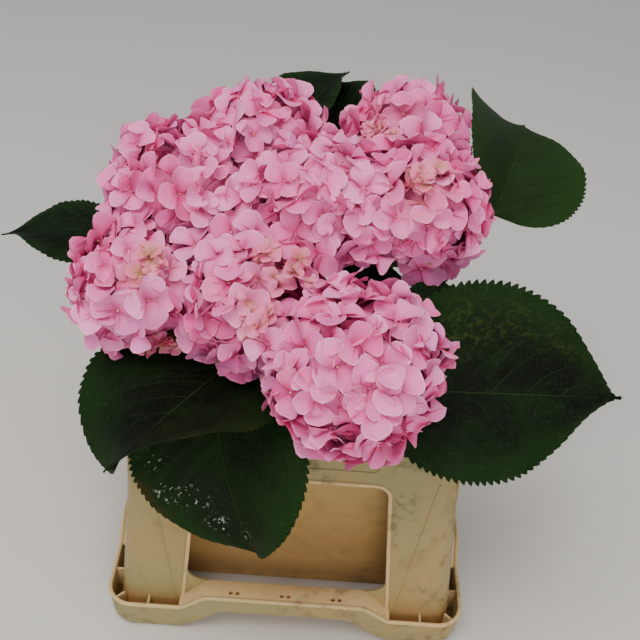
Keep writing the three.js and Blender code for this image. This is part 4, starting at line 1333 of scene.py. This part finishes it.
def crowding(point, share):
    """How crowded a place is, 1 on a lone bloom that is drawn in to a share of its size, and the way out."""
    total, outwards = 0.0, np.zeros(3)
    for bloom in BLOOMS.values():
        away = point - np.array(bloom["centre"], float)
        reach = bloom["radius"] * share
        pull = math.exp(-CROWDING * (away @ away / reach ** 2 - 1))
        total += pull
        outwards += pull * away / reach ** 2
    return total, unit(outwards)


def nearness(way, middle, reach):
    """How near a direction is to another, from 1 down to 0, where reach is an angle in radians."""
    angle = math.acos(max(-1, min(1, float(unit(middle) @ way))))
    return math.exp(-(angle / reach) ** 2)


def bulge(bloom, way):
    """How far a bloom stands out from its ball in a direction, in millimetres."""
    return sum(height * nearness(way, middle, reach) for middle, reach, height in bloom.get("bulges", []))


def young_share(bloom, way):
    """How young a floret is that faces this way, from 0 to 1."""
    return max([most * nearness(way, middle, reach) for middle, reach, most in bloom["young"]], default=0.0)


def pushed_out(eye, way, seat):
    """A floret's middle moved out from between two blooms, and the way that it faces there."""
    crowded, outwards = crowding(eye, seat)
    pushed = 0
    while crowded > CROWDED and pushed < MOST_PUSHED:
        eye = eye + way
        pushed += 1
        crowded, outwards = crowding(eye, seat)
    return eye, outwards


def facing(outwards, tilt, chance):
    """How a floret is turned: roughly outwards, and at random about that."""
    normal = unit(outwards + np.array([chance.gauss(0, tilt) for _ in range(3)]))
    side = unit(np.cross(normal, (0.31, 0.2, 0.93)))
    spin = chance.uniform(0, 2 * math.pi)
    across = side * math.cos(spin) + np.cross(normal, side) * math.sin(spin)
    return tuple(Matrix(np.column_stack([across, np.cross(normal, across), normal]).tolist()).to_euler())


def bloom_places(name, bloom, blade_cloud, chance):
    """Where every floret of a bloom sits, how it is turned and its values."""
    centre, radius = np.array(bloom["centre"], float), bloom["radius"]
    places = []

    def put(way, polar, seat, size, tilt, deep, young):
        """Sets a floret, unless it would stand too far past a neighbouring bloom or in a leaf."""
        eye, outwards = pushed_out(centre + way * (radius * seat + bulge(bloom, way)), way, seat)
        if past_neighbour(name, eye, CLEARANCE["bloom"]):
            return
        if np.min(np.sum((blade_cloud - eye) ** 2, 1)) < CLEARANCE["leaf"] ** 2:
            return
        turn = facing(outwards, tilt, chance)
        tint = chance.gauss(TINT["middle"], TINT["spread"]) - TINT["low_down"] * max(0.0, polar - 1.2)
        places.append((eye, turn, size, min(1.0, max(0.0, tint)), deep, young))

    for coat in COATS:
        count = round(coat["count"] * (radius / 80) ** 2)
        for way, polar in spread_ways(bloom_axis(bloom), count, coat["reach"], chance):
            young = young_share(bloom, way)
            seat = coat["seat"] + chance.uniform(-1, 1) * coat["spread"] - YOUNG["sunk"] * young
            size = coat["size"] * (1 - YOUNG["smaller"] * young)
            put(way, polar, seat, size, coat["tilt"], coat["deep"], young)
    for middle, reach, most in bloom["young"]:
        for _ in range(YOUNG["count"]):
            way = unit(unit(middle) + np.array([chance.gauss(0, reach * 0.5) for _ in range(3)]))
            seat = YOUNG["seat"] + chance.uniform(-YOUNG["uneven"], YOUNG["uneven"])
            put(way, 0.0, seat, chance.uniform(*YOUNG["sizes"]), YOUNG["tilt"], 0.0, most)
    return places


def make_bloom(name, bloom, tree, kinds, finish, blade_cloud, seed):
    """The florets of one bloom."""
    places = bloom_places(name, bloom, blade_cloud, random.Random(seed))
    eyes, turns, *values = zip(*places)
    mesh = bpy.data.meshes.new(f"bloom_{name}_florets")
    mesh.from_pydata([tuple(eye * MM) for eye in eyes], [], [])
    hold(mesh, "turn", turns, "FLOAT_VECTOR", "vector")
    for value_name, held in zip(("size", "tint", "deep", "young"), values):
        hold(mesh, value_name, held)
    florets = shown(mesh.name, mesh)
    setting = florets.modifiers.new("set florets", "NODES")
    setting.node_group = tree
    given = {"Florets": kinds, "Half Width": MM, "Size Spread": 0.2, "Seed": seed, "Finish": finish}
    for item in tree.interface.items_tree:
        if item.name in given:
            setting[item.identifier] = given[item.name]
    return dress(settled(florets, sharp=80), finish, "bloom", f"bloom_{name}")


def add_heart(shape, centre, radius, turn):
    """The shaded middle of a bloom: a lumpy ball, drawn in below."""
    polar = np.linspace(math.pi - 0.001, 0.001, HEART["rings"])
    azimuth = np.linspace(0, 2 * np.pi, HEART["sides"] + 1)[:-1]
    reach = radius * (HEART["reach"] - HEART["hollow"] * np.clip((polar - 2.0) / 1.1, 0, 1) ** 1.2)
    rings = []
    for p, r in zip(polar, reach):
        bumps = 1 + 0.05 * np.sin(5 * azimuth + 4 * p) + 0.04 * np.sin(9 * azimuth - 7 * p)
        local = np.stack([r * bumps * np.sin(p) * np.cos(azimuth), r * bumps * np.sin(p) * np.sin(azimuth),
                          np.full(len(azimuth), r * np.cos(p))], 1)
        rings.append(centre + local @ turn.T)
    ring_body(shape, rings)


def make_bloom_inside(name, bloom, finish, seed):
    """The shaded heart that the florets stand round, and the branchlets that spread to it from the stem."""
    chance = random.Random(seed)
    centre, radius, axis = np.array(bloom["centre"], float), bloom["radius"], bloom_axis(bloom)
    turn = np.array(turn_to(axis))
    shape = Shape("twig")
    add_heart(shape, centre, radius, turn)
    tip = centre - axis * (radius * CORE + STEM["under"])

    def twig(path, radii, sides):
        """Adds a branchlet with its radii at both ends."""
        shape.add(*sweep(path, np.linspace(*radii, len(path)), sides, start=(0.3, 0.5, 0.8)), twig=1.0)

    for k in range(BRANCHLETS["count"]):
        angle = 2 * math.pi * k / BRANCHLETS["count"] + chance.uniform(-0.2, 0.2)
        down = BRANCHLETS["down"] + BRANCHLETS["spread"] * (k % 3) / 2
        way = turn @ np.array(way_at(down, angle))
        end = centre + way * radius * BRANCHLETS["reach"]
        control = tip + axis * radius * BRANCHLETS["rise"] + (end - tip) * 0.3
        path = quadratic(tip + axis * 3, control, end, 10)
        twig(path, BRANCHLETS["radii"], BRANCHLETS["sides"])
        for _ in range(BRANCHLETS["forks"]):
            side_way = unit(way + np.array([chance.gauss(0, 0.25) for _ in range(3)]))
            fork, side_end = path[6], centre + side_way * radius * BRANCHLETS["fork_reach"]
            twig(quadratic(fork, mix(fork, side_end, 0.5) - axis * 3, side_end, 6),
                 BRANCHLETS["fork_radii"], BRANCHLETS["fork_sides"])
    return dress(shape.build(f"bloom_{name}_inside", sharp=60), finish, "bloom")


# ---------------------------------------------------------------- assembly
def make_all():
    """Every piece of the bunch and its container."""
    make_stand(plastic_finish("stand plastic", STAND_TONES, 0.55))
    make_tub(plastic_finish("tub plastic", TUB_TONES, 0.25))
    bark = stem_finish()
    for name, bloom in BLOOMS.items():
        make_stem(name, bloom, bark)
    leaf_green = leaf_finish()
    for i, (name, leaf) in enumerate(LEAVES.items()):
        make_leaf(name, leaf, leaf_green, random.Random(SEEDS["leaf"] + i))
    s, v = np.meshgrid(np.linspace(0.02, 0.98, 26), np.linspace(-1, 1, 17), indexing="ij")
    blade_cloud = np.concatenate([blade_points(leaf, s, v).reshape(-1, 3) for leaf in LEAVES.values()])
    kinds = bpy.data.collections.new("floret kinds")
    for i, (petals, cup) in enumerate(FLORET_KINDS):
        floret = floret_kind(f"floret_{i}", petals, cup, random.Random(SEEDS["floret"] + i))
        bpy.context.scene.collection.objects.unlink(floret)
        kinds.objects.link(floret)
    tree = floret_tree()
    petals, inside = petal_finish(), core_finish()
    for i, (name, bloom) in enumerate(BLOOMS.items()):
        make_bloom(name, bloom, tree, kinds, petals, blade_cloud, SEEDS["bloom"] + i)
        make_bloom_inside(name, bloom, inside, SEEDS["inside"] + i)
    for floret in list(kinds.objects):
        bpy.data.objects.remove(floret)
    bpy.data.collections.remove(kinds)


def make_floor():
    """A plain pale floor."""
    reach = FLOOR_REACH
    corners = [(-reach, -reach, 0), (reach, -reach, 0), (reach, reach, 0), (-reach, reach, 0)]
    floor = Shape().add(corners, [[0, 1, 2, 3]]).build("floor")
    finish, _, shader = new_finish("pale floor", 0.7, 0.3)
    shader.inputs["Base Color"].default_value = colour(*FLOOR_TONE)
    floor.data.materials.append(finish)


def make_camera():
    """The camera at its place, in metres."""
    data = bpy.data.cameras.new("camera")
    data.sensor_width = CAMERA["sensor"]
    data.lens = CAMERA["sensor"] * CAMERA["focal"] / CAMERA["image"]
    camera = bpy.data.objects.new("camera", data)
    right, up = Vector(CAMERA["right"]), Vector(CAMERA["up"])
    turn = Matrix((right, up, right.cross(up))).transposed()
    camera.matrix_world = Matrix.Translation(Vector(CAMERA["place"]) * MM) @ turn.to_4x4()
    bpy.context.scene.collection.objects.link(camera)
    bpy.context.scene.camera = camera


def make_light(name, place, aim, size, power, tone):
    """A soft round light that looks at its aim."""
    data = bpy.data.lights.new(name, "AREA")
    data.shape = "DISK"
    data.size = size
    data.energy = power
    data.color = tone
    light = bpy.data.objects.new(name, data)
    light.location = place
    light.rotation_euler = (Vector(aim) - Vector(place)).to_track_quat("-Z", "Y").to_euler()
    bpy.context.scene.collection.objects.link(light)


def make_world():
    """A faint even light from all round."""
    world = bpy.data.worlds.new("soft light")
    world.use_nodes = True
    background = world.node_tree.nodes["Background"]
    background.inputs["Color"].default_value = SKY["tone"]
    background.inputs["Strength"].default_value = SKY["strength"]
    bpy.context.scene.world = world


make_camera()
make_all()
make_floor()
for light_name, light in LIGHTS.items():
    make_light(light_name, **light)
make_world()
